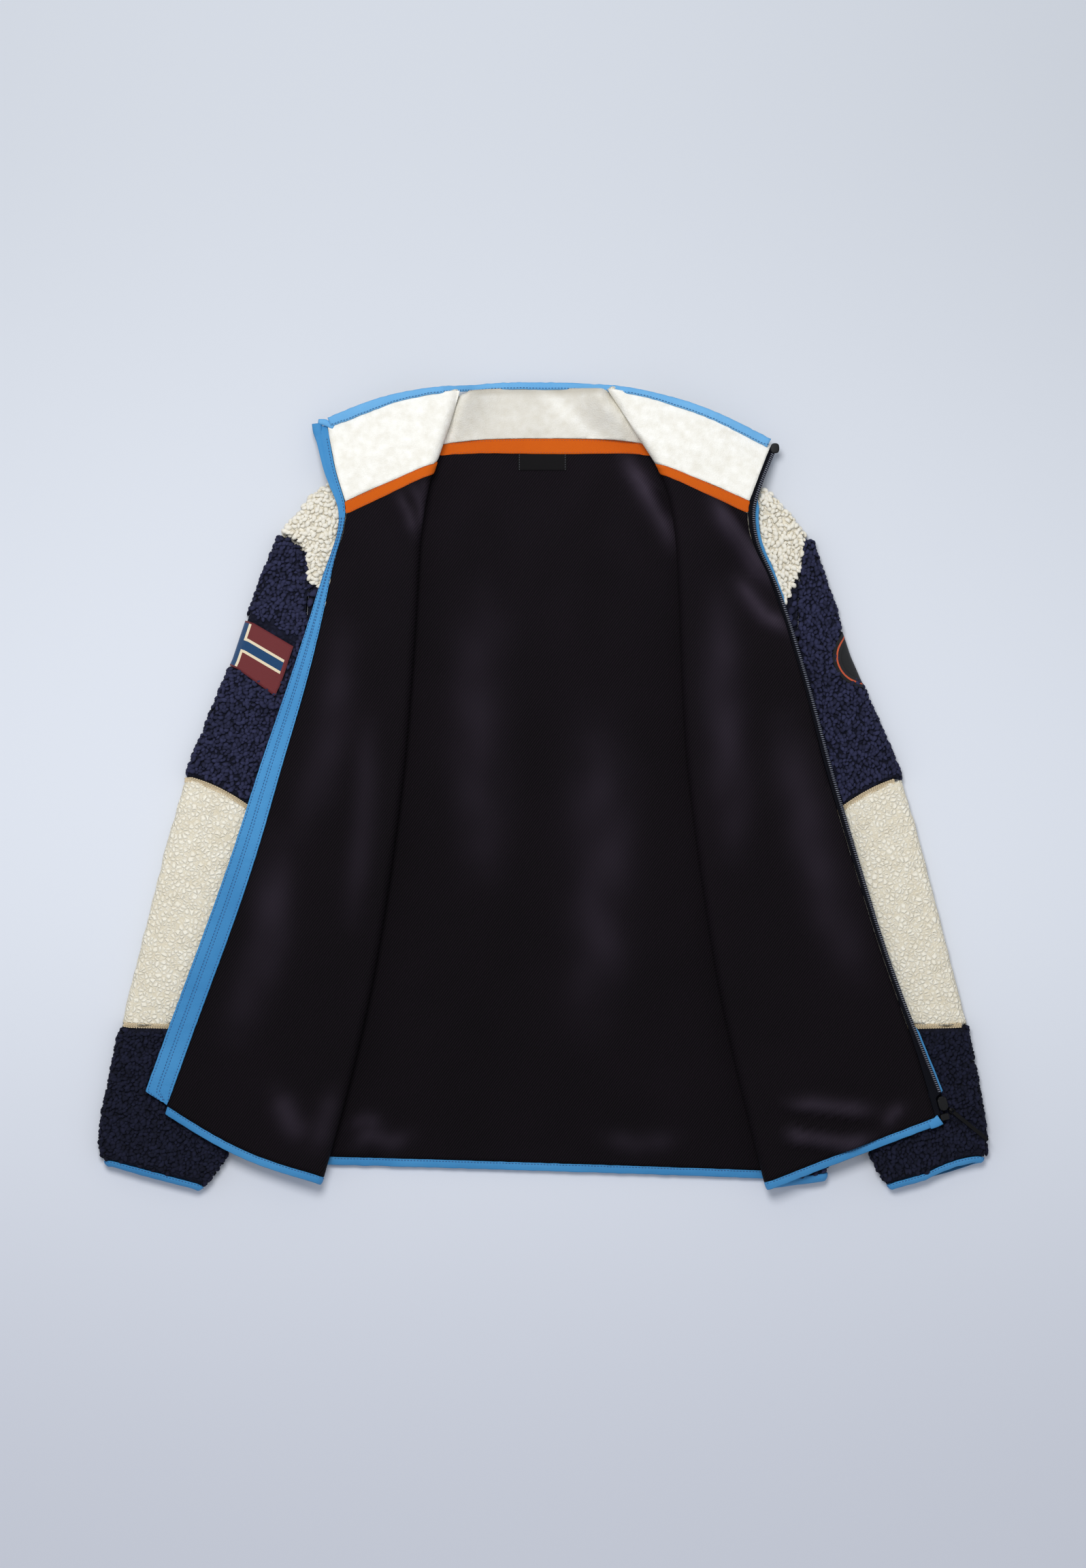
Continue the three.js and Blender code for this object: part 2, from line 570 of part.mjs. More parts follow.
// One ring: from the upper side of the sleeve seam, out over the top, round the folded edge and
// back underneath. The points lie on the inside face of the cloth.
function sleeveRing(ring, side) {
  const rows = side < 0 ? LEFT : RIGHT;
  const outer = flat(ring.outerX, ring.outerY);
  const sewn = ring.armhole !== null;
  let inner = flat(ring.innerX, ring.innerY);
  if (sewn) {
    const low = between(rows, Math.floor(ring.armhole * 2) / 2);
    const high = between(rows, Math.floor(ring.armhole * 2) / 2 + 0.5);
    const t = ring.armhole * 2 - Math.floor(ring.armhole * 2);
    inner = flat(lerp(low.sideX, high.sideX, t) + side * SEAM, lerp(low.sideY, high.sideY, t));
  }
  const open = sewn && ring.armhole > STATION.underarm;
  const out = outer.clone().sub(inner).normalize();
  const middle = (SLEEVE_TOP + ring.low) / 2;
  const radius = (SLEEVE_TOP - ring.low) / 2 - FLEECE;
  const bend = radius + FLEECE;
  const width = outer.distanceTo(inner);
  const at = (reach, z) => inner.clone().addScaledVector(out, reach).setZ(z);
  const arc = (reach, angle) => {
    const a = THREE.MathUtils.degToRad(angle);
    return at(reach + radius * Math.cos(a), middle + radius * Math.sin(a));
  };
  const start = Math.min(bend, width - bend - SEAM_GAP);
  const end = width - bend;
  const seamPoints = (face) => SEAM_ANGLES.map((angle, i) => {
    if (!open) return arc(bend, face * angle);
    return at(lerp(SEAM_GAP, start, i / (SEAM_POINTS - 1)), middle + face * radius);
  });
  const across = steps(0, 1, ACROSS_POINTS + 1).slice(1, -1);
  return [
    ...seamPoints(1),
    ...across.map((t) => at(lerp(start, end, t), middle + radius)),
    ...steps(90, -90, ARC_STEPS).map((angle) => arc(end, angle)),
    ...across.map((t) => at(lerp(end, start, t), middle - radius)),
    ...seamPoints(-1).reverse(),
  ];
}

function sleeveRings(side) {
  const rows = side < 0 ? SLEEVE.left : SLEEVE.right;
  return RINGS.map((at) => sleeveRing(Number.isInteger(at) ? rows[at] : between(rows, at), side));
}

const sleeves = {};
for (const [name, side] of [['left', -1], ['right', 1]]) {
  const rings = sleeveRings(side);
  // The normals that point away from the hollow of the sleeve, whichever way the grid runs.
  const normals = gridNormals(rings).map((row) => row.map((n) => n.multiplyScalar(-side)));
  sleeves[side] = { rings, normals };
  const parts = [
    ['upper', 0, ELBOW_RING, [0, halfSeam], NAVY],
    ['middle', ELBOW_RING, LOWER_SEAM_RING, [halfSeam, halfSeam], CREAM],
    ['lower', LOWER_SEAM_RING, CUFF_RING, [halfSeam, 0], NAVY],
  ];
  for (const [part, first, last, gaps, material] of parts) {
    const [start, end] = [RINGS.indexOf(first), RINGS.indexOf(last) + 1];
    const grid = drawnIn(rings.slice(start, end), ...gaps);
    add(`${name}_sleeve_${part}`,
      wallGeometry(grid, 0, FLEECE, () => 0, normals.slice(start, end)), material);
  }
  const cuffLow = [0, 0, FLEECE * 0.3];
  const cuffHigh = [FLEECE, FLEECE, FLEECE * 0.6];
  const n = RINGS.length - 1;
  add(`${name}_cuff_binding`, binding(rings[n], rings[n - 1], normals[n],
    SEAM, CUFF_BINDING, (i) => cuffLow[i], (i) => cuffHigh[i]), LIGHT_BLUE);
}

// ---------------------------------------------------------------- patches and label

// A point on the sleeve's outside, by ring and column, both of which may lie between two.
function sleeveSkin(side, ringAt, columnAt, away) {
  const { rings, normals } = sleeves[side];
  const i = RINGS.findLastIndex((at) => at <= ringAt);
  const j = Math.floor(columnAt);
  const corner = (a, b) => rings[a][b].clone().addScaledVector(normals[a][b], FLEECE + away);
  const row = (a) => corner(a, j).lerp(corner(a, j + 1), columnAt - j);
  return row(i).lerp(row(i + 1), (ringAt - RINGS[i]) / (RINGS[i + 1] - RINGS[i]));
}

// A point of a patch, by ring and by distance round the sleeve's outer edge, measured from the
// line where the flat top ends; a negative distance lies on the top.
const A_LITTLE = 0.05; // part of a ring, to find which way the outer edge runs
function onSleeve(side, ringAt, around, away, turn = 0) {
  const topLine = SEAM_POINTS + ACROSS_POINTS;
  const low = sleeveSkin(side, ringAt, topLine + ARC_STEPS, 0).z;
  const facet = (Math.PI * (SLEEVE_TOP - low)) / 2 / ARC_STEPS;
  const ahead = sleeveSkin(side, ringAt + A_LITTLE, topLine, 0);
  const behind = sleeveSkin(side, ringAt - A_LITTLE, topLine, 0);
  const inward = ahead.sub(behind).setZ(0).normalize();
  inward.applyAxisAngle(UP, side * -Math.PI / 2 + THREE.MathUtils.degToRad(turn));
  if (around <= 0) {
    const p = sleeveSkin(side, ringAt, topLine, 0).addScaledVector(inward, -around);
    return p.setZ(SLEEVE_TOP + away);
  }
  if (around < facet * ARC_STEPS) {
    return sleeveSkin(side, ringAt, topLine + around / facet, away);
  }
  const p = sleeveSkin(side, ringAt, topLine + ARC_STEPS, 0);
  return p.addScaledVector(inward, around - facet * ARC_STEPS).setZ(low - away);
}

// The ring position a distance further down the sleeve's outer edge.
function ringAfter(side, ringAt, distance) {
  const i = Math.floor(ringAt);
  const rows = side < 0 ? SLEEVE.left : SLEEVE.right;
  const length = Math.hypot(rows[i + 1].outerX - rows[i].outerX,
    rows[i + 1].outerY - rows[i].outerY);
  const at = ringAt + distance / length;
  if (at <= i + 1) return at;
  return ringAfter(side, i + 1, distance - (i + 1 - ringAt) * length);
}

function patchGeometry(side, rowsOf, { turn, gap }) {
  const face = (away) => rowsOf.map((row) => row.map(([ring, around]) => (
    onSleeve(side, ring, around, away, turn))));
  const from = face(gap);
  const to = face(gap + PATCH_THICKNESS);
  const normals = from.map((row, i) => row.map((p, j) => to[i][j].clone().sub(p)));
  return wallGeometry(from, 0, 1, () => 0, normals);
}

const flagRows = steps(0, FLAG.along, 5).map((d) => {
  const ring = ringAfter(-1, FLAG.ring, d);
  return steps(FLAG.wrap - FLAG.around, FLAG.wrap, 16).map((around) => [ring, around]);
});
add('flag_patch', patchGeometry(-1, flagRows, FLAG), DARK_RED);

const { radius: discRadius, wrap: discWrap } = ROUND_PATCH;
const discRows = steps(10, 170, 12).map((degrees) => {
  const angle = THREE.MathUtils.degToRad(degrees);
  const half = discRadius * Math.sin(angle);
  const ring = ringAfter(1, 2, ROUND_PATCH.down - discRadius * Math.cos(angle));
  return steps(discWrap - half, discWrap + half, 14).map((around) => [ring, around]);
});
add('round_patch', patchGeometry(1, discRows, ROUND_PATCH), CHARCOAL);

const labelZ = BACK_LEVEL + HALF_GAP + LINING + LABEL.gap;
const labelGrid = steps(LABEL.top - LABEL.depth, LABEL.top, 2)
  .map((y) => steps(LABEL.x - LABEL.width / 2, LABEL.x + LABEL.width / 2, 4)
    .map((x) => new THREE.Vector3(x, y, labelZ)));
add('neck_label', wallGeometry(labelGrid, 0, LABEL.thickness), BLACK_TAPE);

// ---------------------------------------------------------------- zip slider and pull

// A block with rounded corners, standing on z.
function roundedBlock({ length, width, height, corner }) {
  const shape = new THREE.Shape();
  const x = length / 2 - corner;
  const y = width / 2 - corner;
  shape.absarc(x, y, corner, 0, Math.PI / 2);
  shape.absarc(-x, y, corner, Math.PI / 2, Math.PI);
  shape.absarc(-x, -y, corner, Math.PI, 1.5 * Math.PI);
  shape.absarc(x, -y, corner, 1.5 * Math.PI, 2 * Math.PI);
  return new THREE.ExtrudeGeometry(shape, { depth: height, bevelEnabled: false, curveSegments: 4 });
}

const zipHeading = Math.atan2(RIGHT[1].edgeY - RIGHT[0].edgeY, RIGHT[1].edgeX - RIGHT[0].edgeX);
const slider = add('zip_slider', roundedBlock(SLIDER), DARK_PLASTIC);
slider.position.set(SLIDER.x, SLIDER.y, SLIDER.z);
slider.rotation.z = zipHeading;

const box = add('zip_box', roundedBlock(BOX), DARK_PLASTIC);
box.position.set(BOX.x, BOX.y, BOX.z);
box.rotation.z = zipHeading;

// The bail is a small arch on the slider's nose; the pull's bar runs through it.
const bar = PULL.thickness;
const eye = bar + 2 * BAIL.clearance;
const bailShape = new THREE.Shape();
const bailOuter = eye / 2 + BAIL.wire;
bailShape.absarc(0, 0, bailOuter, 0, 2 * Math.PI);
const bailHole = new THREE.Path();
bailHole.absarc(0, 0, eye / 2, 0, 2 * Math.PI, true);
bailShape.holes.push(bailHole);
const bail = add('pull_bail', new THREE.ExtrudeGeometry(bailShape,
  { depth: BAIL.width, bevelEnabled: false, curveSegments: 8 }), DARK_PLASTIC);

// The pull: a small frame round the bail and a flat strap that lies on the cuff.
const pullShape = new THREE.Shape();
const half = PULL.width / 2;
const back = -bar / 2;
pullShape.moveTo(back, -half);
pullShape.lineTo(PULL.length - half, -half);
pullShape.absarc(PULL.length - half, 0, half, -Math.PI / 2, Math.PI / 2);
pullShape.lineTo(back, half);
pullShape.closePath();
const pullHole = new THREE.Path();
const holeHalf = BAIL.width / 2 + PULL.play;
const holeEnd = bailOuter + 3 * PULL.play;
pullHole.moveTo(bar / 2, -holeHalf);
pullHole.lineTo(bar / 2, holeHalf);
pullHole.lineTo(holeEnd, holeHalf);
pullHole.lineTo(holeEnd, -holeHalf);
pullHole.closePath();
pullShape.holes.push(pullHole);
const pull = add('zip_pull', new THREE.ExtrudeGeometry(pullShape,
  { depth: PULL.thickness, bevelEnabled: false, curveSegments: 4 }), DARK_PLASTIC);
const pullAngle = THREE.MathUtils.degToRad(PULL.angle);
const pullX = SLIDER.x + PULL.reach * Math.cos(pullAngle);
const pullY = SLIDER.y + PULL.reach * Math.sin(pullAngle);
pull.position.set(pullX, pullY, PULL.z - PULL.thickness / 2);
pull.rotation.z = pullAngle;

bail.rotation.order = 'ZYX';
bail.rotation.set(Math.PI / 2, 0, pullAngle);
bail.position.set(pullX - Math.sin(pullAngle) * BAIL.width / 2,
  pullY + Math.cos(pullAngle) * BAIL.width / 2, PULL.z);

const stopRow = edgeStrip(RIGHT, [STATION.collarTop], (row) => row.zip - TOP_STOP.width,
  (row) => row.zip, -TOP_STOP.above, 1)[0];
const stopCentre = stopRow[0].clone().lerp(stopRow[1], 0.5);
const topStop = add('zip_top_stop',
  new THREE.BoxGeometry(TOP_STOP.width, TOP_STOP.width, TOP_STOP.height), DARK_PLASTIC);
topStop.position.copy(stopCentre);

// ---------------------------------------------------------------- origin
// The origin is the middle of the underside: the jacket's box is centred on X and Y.
const bounds = new THREE.Box3().setFromObject(jacket);
const centre = bounds.getCenter(new THREE.Vector3());
jacket.position.set(-centre.x, -centre.y, -bounds.min.z);
jacket.updateMatrixWorld(true);

export default jacket;
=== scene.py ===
# A zip-up sherpa fleece jacket, lying open and flat on its back. Metres, Z up, collar to +Y.
# Left and right are -X and +X as seen from above.
import math

import bmesh
import bpy
import numpy as np
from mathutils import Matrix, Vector, noise
from mathutils.bvhtree import BVHTree


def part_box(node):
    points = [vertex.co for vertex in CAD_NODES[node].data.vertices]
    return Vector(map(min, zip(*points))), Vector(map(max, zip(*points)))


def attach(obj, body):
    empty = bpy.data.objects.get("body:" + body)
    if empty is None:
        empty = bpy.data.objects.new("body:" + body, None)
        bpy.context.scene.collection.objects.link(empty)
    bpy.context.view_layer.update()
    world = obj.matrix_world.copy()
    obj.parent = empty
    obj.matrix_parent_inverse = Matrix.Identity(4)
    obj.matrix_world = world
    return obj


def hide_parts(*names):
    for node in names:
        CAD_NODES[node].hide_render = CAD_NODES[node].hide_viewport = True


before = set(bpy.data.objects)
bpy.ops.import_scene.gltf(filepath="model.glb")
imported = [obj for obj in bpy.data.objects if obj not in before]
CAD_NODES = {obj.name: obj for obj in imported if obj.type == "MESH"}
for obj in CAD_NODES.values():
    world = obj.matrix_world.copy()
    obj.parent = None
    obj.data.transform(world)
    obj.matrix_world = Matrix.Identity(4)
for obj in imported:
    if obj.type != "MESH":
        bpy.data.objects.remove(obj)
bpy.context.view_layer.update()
MM = 0.001

# ---------------------------------------------------------------- the table and the light
# A pale table top, with a painted pool of light in its middle, seen from straight above, under one
# broad soft lamp that stands a little towards the collar, with pale light from all round.
CAMERA_PLACE = (-0.0009, 0.0026, 3.0)
FOCUS_HEIGHT = 0.015  # the level at which the view is measured: half way up the jacket
VIEW_HEIGHT = 1.5374  # of table that is in view from top to bottom
SENSOR = 36.0
TABLE_LEVEL = -0.0002  # a hair below the jacket, which lies at zero
TABLE_HALF = 4.0
LAMP_PLACE, LAMP_TARGET = Vector((-0.25, 0.88, 2.1)), Vector((0, 0.05, 0))


def linear(red, green, blue):
    """A colour given as it looks on a screen, 0 to 255, as the shader wants it."""
    values = [c / 255 for c in (red, green, blue)]
    return tuple(c / 12.92 if c <= 0.04045 else ((c + 0.055) / 1.055) ** 2.4 for c in values) + (1,)


def new_node(tree, kind, values=None, **settings):
    """A node of a tree, with these settings, and with these values in its inputs."""
    node = tree.nodes.new(kind)
    for setting, value in settings.items():
        setattr(node, setting, value)
    for socket, value in (values or {}).items():
        node.inputs[socket].default_value = value
    return node


def wire(tree, *routes):
    """Joins the nodes of a tree: each route is (from node, its output, to node, its input)."""
    for start, output, end, socket in routes:
        tree.links.new(start.outputs[output], end.inputs[socket])


def shader_of(material):
    return material.node_tree.nodes["Principled BSDF"]


def new_material(name, **values):
    """A material with these values in its shader's sockets, with _ for a space in their names."""
    material = bpy.data.materials.new(name)
    material.use_nodes = True
    for label, value in values.items():
        shader_of(material).inputs[label.replace("_", " ")].default_value = value
    return material


def clothed(obj, finish):
    """Gives an object one material, in place of what it had."""
    obj.data.materials.clear()
    obj.data.materials.append(finish)


def add_object(name, data, finish=None):
    obj = bpy.data.objects.new(name, data)
    bpy.context.scene.collection.objects.link(obj)
    if finish is not None:
        clothed(obj, finish)
    return obj


camera_data = bpy.data.cameras.new("camera")
camera_data.sensor_width = SENSOR
camera_data.lens = SENSOR * (CAMERA_PLACE[2] - FOCUS_HEIGHT) / VIEW_HEIGHT
camera = add_object("camera", camera_data)
camera.location = CAMERA_PLACE
bpy.context.scene.camera = camera

bpy.context.scene.view_settings.view_transform = "Standard"
bpy.context.scene.view_settings.look = "None"

# Painted pool of light: the table darkens a little from its middle to the far edge and the near one.
paint = new_material("table_paint", Base_Color=linear(212, 218, 229), Roughness=0.8)
tree = paint.node_tree
where = new_node(tree, "ShaderNodeTexCoord")
split = new_node(tree, "ShaderNodeSeparateXYZ")
wire(tree, (where, "Object", split, "Vector"))
shade = None
for start, end, color in ((-0.15, 0.72, linear(199, 203, 210)),
                          (-0.1, -0.72, linear(211, 214, 224))):
    fall = new_node(tree, "ShaderNodeMapRange", {"From Min": start, "From Max": end},
                    interpolation_type="SMOOTHSTEP")
    mix = new_node(tree, "ShaderNodeMix", {"A": linear(222, 226, 234), "B": color},
                   data_type="RGBA")
    wire(tree, (split, "Y", fall, "Value"), (fall, "Result", mix, "Factor"))
    if shade is not None:
        wire(tree, (shade, "Result", mix, "A"))
    shade = mix
wire(tree, (shade, "Result", shader_of(paint), "Base Color"))
floor_mesh = bpy.data.meshes.new("table_top")
floor_mesh.from_pydata([(x * TABLE_HALF, y * TABLE_HALF, TABLE_LEVEL)
                        for x, y in ((-1, -1), (1, -1), (1, 1), (-1, 1))], [], [(0, 1, 2, 3)])
floor = add_object("table_top", floor_mesh, paint)

world = bpy.data.worlds.new("pale_room")
bpy.context.scene.world = world
world.use_nodes = True
background = world.node_tree.nodes["Background"]
background.inputs["Color"].default_value = (0.90, 0.94, 1.0, 1)
background.inputs["Strength"].default_value = 0.52

lamp_data = bpy.data.lights.new("soft_box", "AREA")
lamp_data.shape = "DISK"
lamp_data.size = 1.0
lamp_data.energy = 33
lamp = add_object("soft_box", lamp_data)
lamp.location = LAMP_PLACE
lamp.rotation_euler = (LAMP_TARGET - LAMP_PLACE).to_track_quat("-Z", "Y").to_euler()

# ---------------------------------------------------------------- sherpa fleece
# Knitted backing with a deep curled pile, navy on the body and the sleeve ends, cream on the
# yokes, the collar and the sleeve middles. Each panel is a soft wall with locks of wool on it.
PILE = 1.3 * MM  # height that the locks stand above the drawn-in backing


def mesh_of(names):
    """One BMesh with the solids of these nodes, their loose triangles merged."""
    mesh = bmesh.new()
    for name in names:
        mesh.from_mesh(CAD_NODES[name].data)
    bmesh.ops.remove_doubles(mesh, verts=mesh.verts, dist=0.01 * MM)
    return mesh


def mesh_from(bm, name):
    """The finished mesh of a BMesh, which is freed."""
    data = bpy.data.meshes.new(name)
    bm.to_mesh(data)
    bm.free()
    return data


def smooth(data):
    data.polygons.foreach_set("use_smooth", [True] * len(data.polygons))
    return data


NEARLY_FLAT, NEARLY_SQUARE = math.radians(40), math.radians(70)  # triangles that are joined
SHARP = math.radians(50)  # edges of a solid that are creased when it is softened


def softened(name, nodes, rounds, longest, hold=1.0):
    """A smooth, finely divided copy of CAD walls: rounds of subdivision, then long edges halved.

    hold is how crisp the creased edges stay, from 0 to 1."""
    mesh = mesh_of(nodes)
    bmesh.ops.join_triangles(mesh, faces=mesh.faces, angle_face_threshold=NEARLY_FLAT,
                             angle_shape_threshold=NEARLY_SQUARE)
    crease = mesh.edges.layers.float.new("crease_edge")
    for edge in mesh.edges:
        if len(edge.link_faces) == 2 and edge.calc_face_angle(0) > SHARP:
            edge[crease] = hold
    obj = add_object(name, mesh_from(mesh, name))
    modifier = obj.modifiers.new("rounding", "SUBSURF")
    modifier.levels = rounds
    modifier.render_levels = rounds
    plain_mesh(obj)
    mesh = bmesh.new()
    mesh.from_mesh(obj.data)
    for _ in range(4):
        long_edges = [e for e in mesh.edges if e.calc_length() > longest]
        if not long_edges:
            break
        bmesh.ops.subdivide_edges(mesh, edges=long_edges, cuts=1, use_grid_fill=True)
    mesh.to_mesh(obj.data)
    mesh.free()
    smooth(obj.data)
    return obj


def plain_mesh(obj):
    """Turns what the object's modifiers make into its own mesh."""
    evaluated = obj.evaluated_get(bpy.context.evaluated_depsgraph_get())
    made = bpy.data.meshes.new_from_object(evaluated)
    obj.modifiers.clear()
    old = obj.data
    obj.data = made
    bpy.data.meshes.remove(old)


def points_of(mesh):
    points = np.empty(len(mesh.vertices) * 3)
    mesh.vertices.foreach_get("co", points)
    return points.reshape(-1, 3)


def normals_of(mesh):
    normals = np.empty(len(mesh.vertices) * 3)
    mesh.vertex_normals.foreach_get("vector", normals)
    return normals.reshape(-1, 3)


def set_points(mesh, points):
    mesh.vertices.foreach_set("co", np.asarray(points, dtype=float).ravel())
    mesh.update()


def tree_of(names):
    """The solids of these nodes as one surface that rays and distances are measured to."""
    mesh = mesh_of(names)
    tree = BVHTree.FromBMesh(mesh)
    mesh.free()
    return tree


def noise_on(points, per_metre):
    """Smooth noise, from -1 to 1, at each point."""
    return np.array([noise.noise(Vector(p) * per_metre) for p in points])


def noise_over(points, per_x, per_y, seed):
    """Smooth noise that doesn't change with height."""
    return np.array([noise.noise(Vector((p[0] * per_x, p[1] * per_y, seed))) for p in points])


def along_route(points, route):
    """How far each point lies from a route in the table's plane, and its share of the way."""
    lengths = np.linalg.norm(np.diff(route, axis=0), axis=1)
    nearest = np.full(len(points), 1e9)
    along = np.zeros(len(points))
    before = 0.0
    for start, end, length in zip(route, route[1:], lengths):
        step = (end - start) / length
        t = np.clip((points[:, :2] - start) @ step, 0, length)
        away = np.linalg.norm(points[:, :2] - start - t[:, None] * step, axis=1)
        along = np.where(away < nearest, (before + t) / lengths.sum(), along)
        nearest = np.minimum(nearest, away)
        before += length
    return nearest, along


def distances(route):
    """How far along a route each of its points lies."""
    return np.concatenate(([0], np.cumsum(np.linalg.norm(np.diff(route, axis=0), axis=1))))


def set_values(mesh, label, values):
    """Keeps a value for each point of a mesh, as the attribute with this name."""
    mesh.attributes.new(label, "FLOAT", "POINT").data.foreach_set("value", values)


def dressed(piece, node=None, body="jacket"):
    """Puts a finished piece on the body that it rides, and hides its solid."""
    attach(piece, body)
    if node is not None:
        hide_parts(node)


UP, DOWN = Vector((0, 0, 1)), Vector((0, 0, -1))
everything = tree_of(CAD_NODES)
FLAT_NODES = ("flag_patch", "round_patch", "neck_tape", "collar_inner", "back_lining",
              "left_front_lining", "right_front_lining", "neck_label")
SIDE_ROOM, HEAD_ROOM = 11 * MM, 30 * MM  # free space beside and above standing pile
LOCK_REACH, TABLE_GAP = 4.5 * MM, 0.6 * MM  # how far a lock stands out, what is left below it
FLAT_GAP, CUFF_GAP = 3.2 * MM, 5.2 * MM  # bare strips beside flat pieces and cuff bindings


def open_to_air(points, normals, own, room=9 * MM):
    """1 where nothing lies on the cloth, so that its pile can stand up, and 0 elsewhere.

    own are the nodes that count as the cloth itself, room the free space in front of it."""
    others = tree_of([n for n in CAD_NODES if n not in own])
    flat = tree_of(FLAT_NODES)
    cuffs = tree_of(("left_cuff_binding", "right_cuff_binding"))
    free = np.zeros(len(points))
    for i, (p, n) in enumerate(zip(points, normals)):
        if p[2] + LOCK_REACH * n[2] < TABLE_GAP:
            continue
        p, n = Vector(p), Vector(n)
        if others.ray_cast(p + 0.05 * MM * n, n, SIDE_ROOM)[0] is not None:
            continue
        if n.z > -0.1 and others.ray_cast(p + 0.3 * MM * n, UP, HEAD_ROOM)[0] is not None:
            continue
        if flat.find_nearest(p, FLAT_GAP)[0] or cuffs.find_nearest(p, CUFF_GAP)[0]:
            continue
        if everything.ray_cast(p + 3 * MM * n, n, room)[0] is None:
            free[i] = 1
    return free


def shader_group(name, inputs):
    """An empty node group that turns these inputs, with their defaults, into a tone and a height."""
    group = bpy.data.node_groups.new(name, "ShaderNodeTree")
    for label, default in inputs:
        socket = group.interface.new_socket(label, in_out="INPUT", socket_type="NodeSocketFloat")
        socket.default_value = default
    for label in ("Tone", "Height"):
        group.interface.new_socket(label, in_out="OUTPUT", socket_type="NodeSocketFloat")
    return group, new_node(group, "NodeGroupInput"), new_node(group, "NodeGroupOutput")


# Two tones of one colour and a fine uneven height, as brushed or curled fibre has them.
fuzz, group_in, group_out = shader_group(
    "fuzz", (("Clump size", 60.0), ("Fibre size", 600.0), ("Fibre share", 0.5)))
place = new_node(fuzz, "ShaderNodeTexCoord")
clump = new_node(fuzz, "ShaderNodeTexNoise", {"Detail": 3})
fibre = new_node(fuzz, "ShaderNodeTexNoise", {"Detail": 4})
share = new_node(fuzz, "ShaderNodeMix")
wire(fuzz, (place, "Object", clump, "Vector"), (group_in, "Clump size", clump, "Scale"),
     (place, "Object", fibre, "Vector"), (group_in, "Fibre size", fibre, "Scale"),
     (group_in, "Fibre share", share, "Factor"), (clump, "Fac", share, "A"),
     (fibre, "Fac", share, "B"), (clump, "Fac", group_out, "Tone"),
     (share, "Result", group_out, "Height"))


def fuzzy(name, dark, light, sizes, relief, sheen=0.3, tone=(), spread=(0.3, 0.7)):
    """A matt fibre cloth: two tones and a fine relief.

    The tones are mixed by the fuzz, and by the attributes of the piece that tone names, each
    with its share. sizes are the inputs of the fuzz."""
    material = new_material(name, Roughness=0.95, Specular_IOR_Level=0.2, Sheen_Weight=sheen,
                            Sheen_Roughness=0.5, Sheen_Tint=light)
    tree, shader = material.node_tree, shader_of(material)
    group = new_node(tree, "ShaderNodeGroup", node_tree=fuzz)
    for label, value in zip(("Clump size", "Fibre size", "Fibre share"), sizes):
        group.inputs[label].default_value = value
    shares = [(group, "Tone", 1 - sum(share for label, share in tone))]
    shares += [(new_node(tree, "ShaderNodeAttribute", attribute_name=label), "Fac", share)
               for label, share in tone]
    total = None
    for node, output, share in shares:
        add = new_node(tree, "ShaderNodeMath", operation="MULTIPLY_ADD")
        add.inputs[1].default_value = share
        add.inputs[2].default_value = 0
        wire(tree, (node, output, add, 0))
        if total is not None:
            wire(tree, (total, 0, add, 2))
        total = add
    ramp = new_node(tree, "ShaderNodeMapRange", {"From Min": spread[0], "From Max": spread[1]})
    mix = new_node(tree, "ShaderNodeMix", {"A": dark, "B": light}, data_type="RGBA")
    bump = new_node(tree, "ShaderNodeBump", {"Strength": 1.0, "Distance": relief})
    wire(tree, (total, 0, ramp, "Value"), (ramp, "Result", mix, "Factor"),
         (mix, "Result", shader, "Base Color"), (group, "Height", bump, "Height"),
         (bump, "Normal", shader, "Normal"))
    return material


LOCK_SIZES, LOCK_RELIEF = (260, 1500, 0.7), 0.5 * MM
# Each lock is toned at random, and by its rise, which paints shade at its root and light on top.
LOCK_TONES = (("tone", 0.3), ("rise", 0.45))
navy_locks = fuzzy("navy_locks", linear(3, 4, 10), linear(49, 51, 80), LOCK_SIZES, LOCK_RELIEF,
                   tone=LOCK_TONES, sheen=0.06, spread=(0.25, 0.85))
# The lower sleeves' locks are a darker copy: painted shade, as the light falls off towards the
# bottom.
navy_locks_painted_shade = fuzzy("navy_locks_painted_shade", linear(3, 4, 9), linear(29, 31, 52), LOCK_SIZES,
                         LOCK_RELIEF, tone=LOCK_TONES, sheen=0.04, spread=(0.25, 0.9))
cream_locks = fuzzy("cream_locks", linear(222, 213, 191), linear(236, 231, 218), LOCK_SIZES,
                    LOCK_RELIEF, tone=LOCK_TONES, sheen=0.1, spread=(0.1, 0.7))


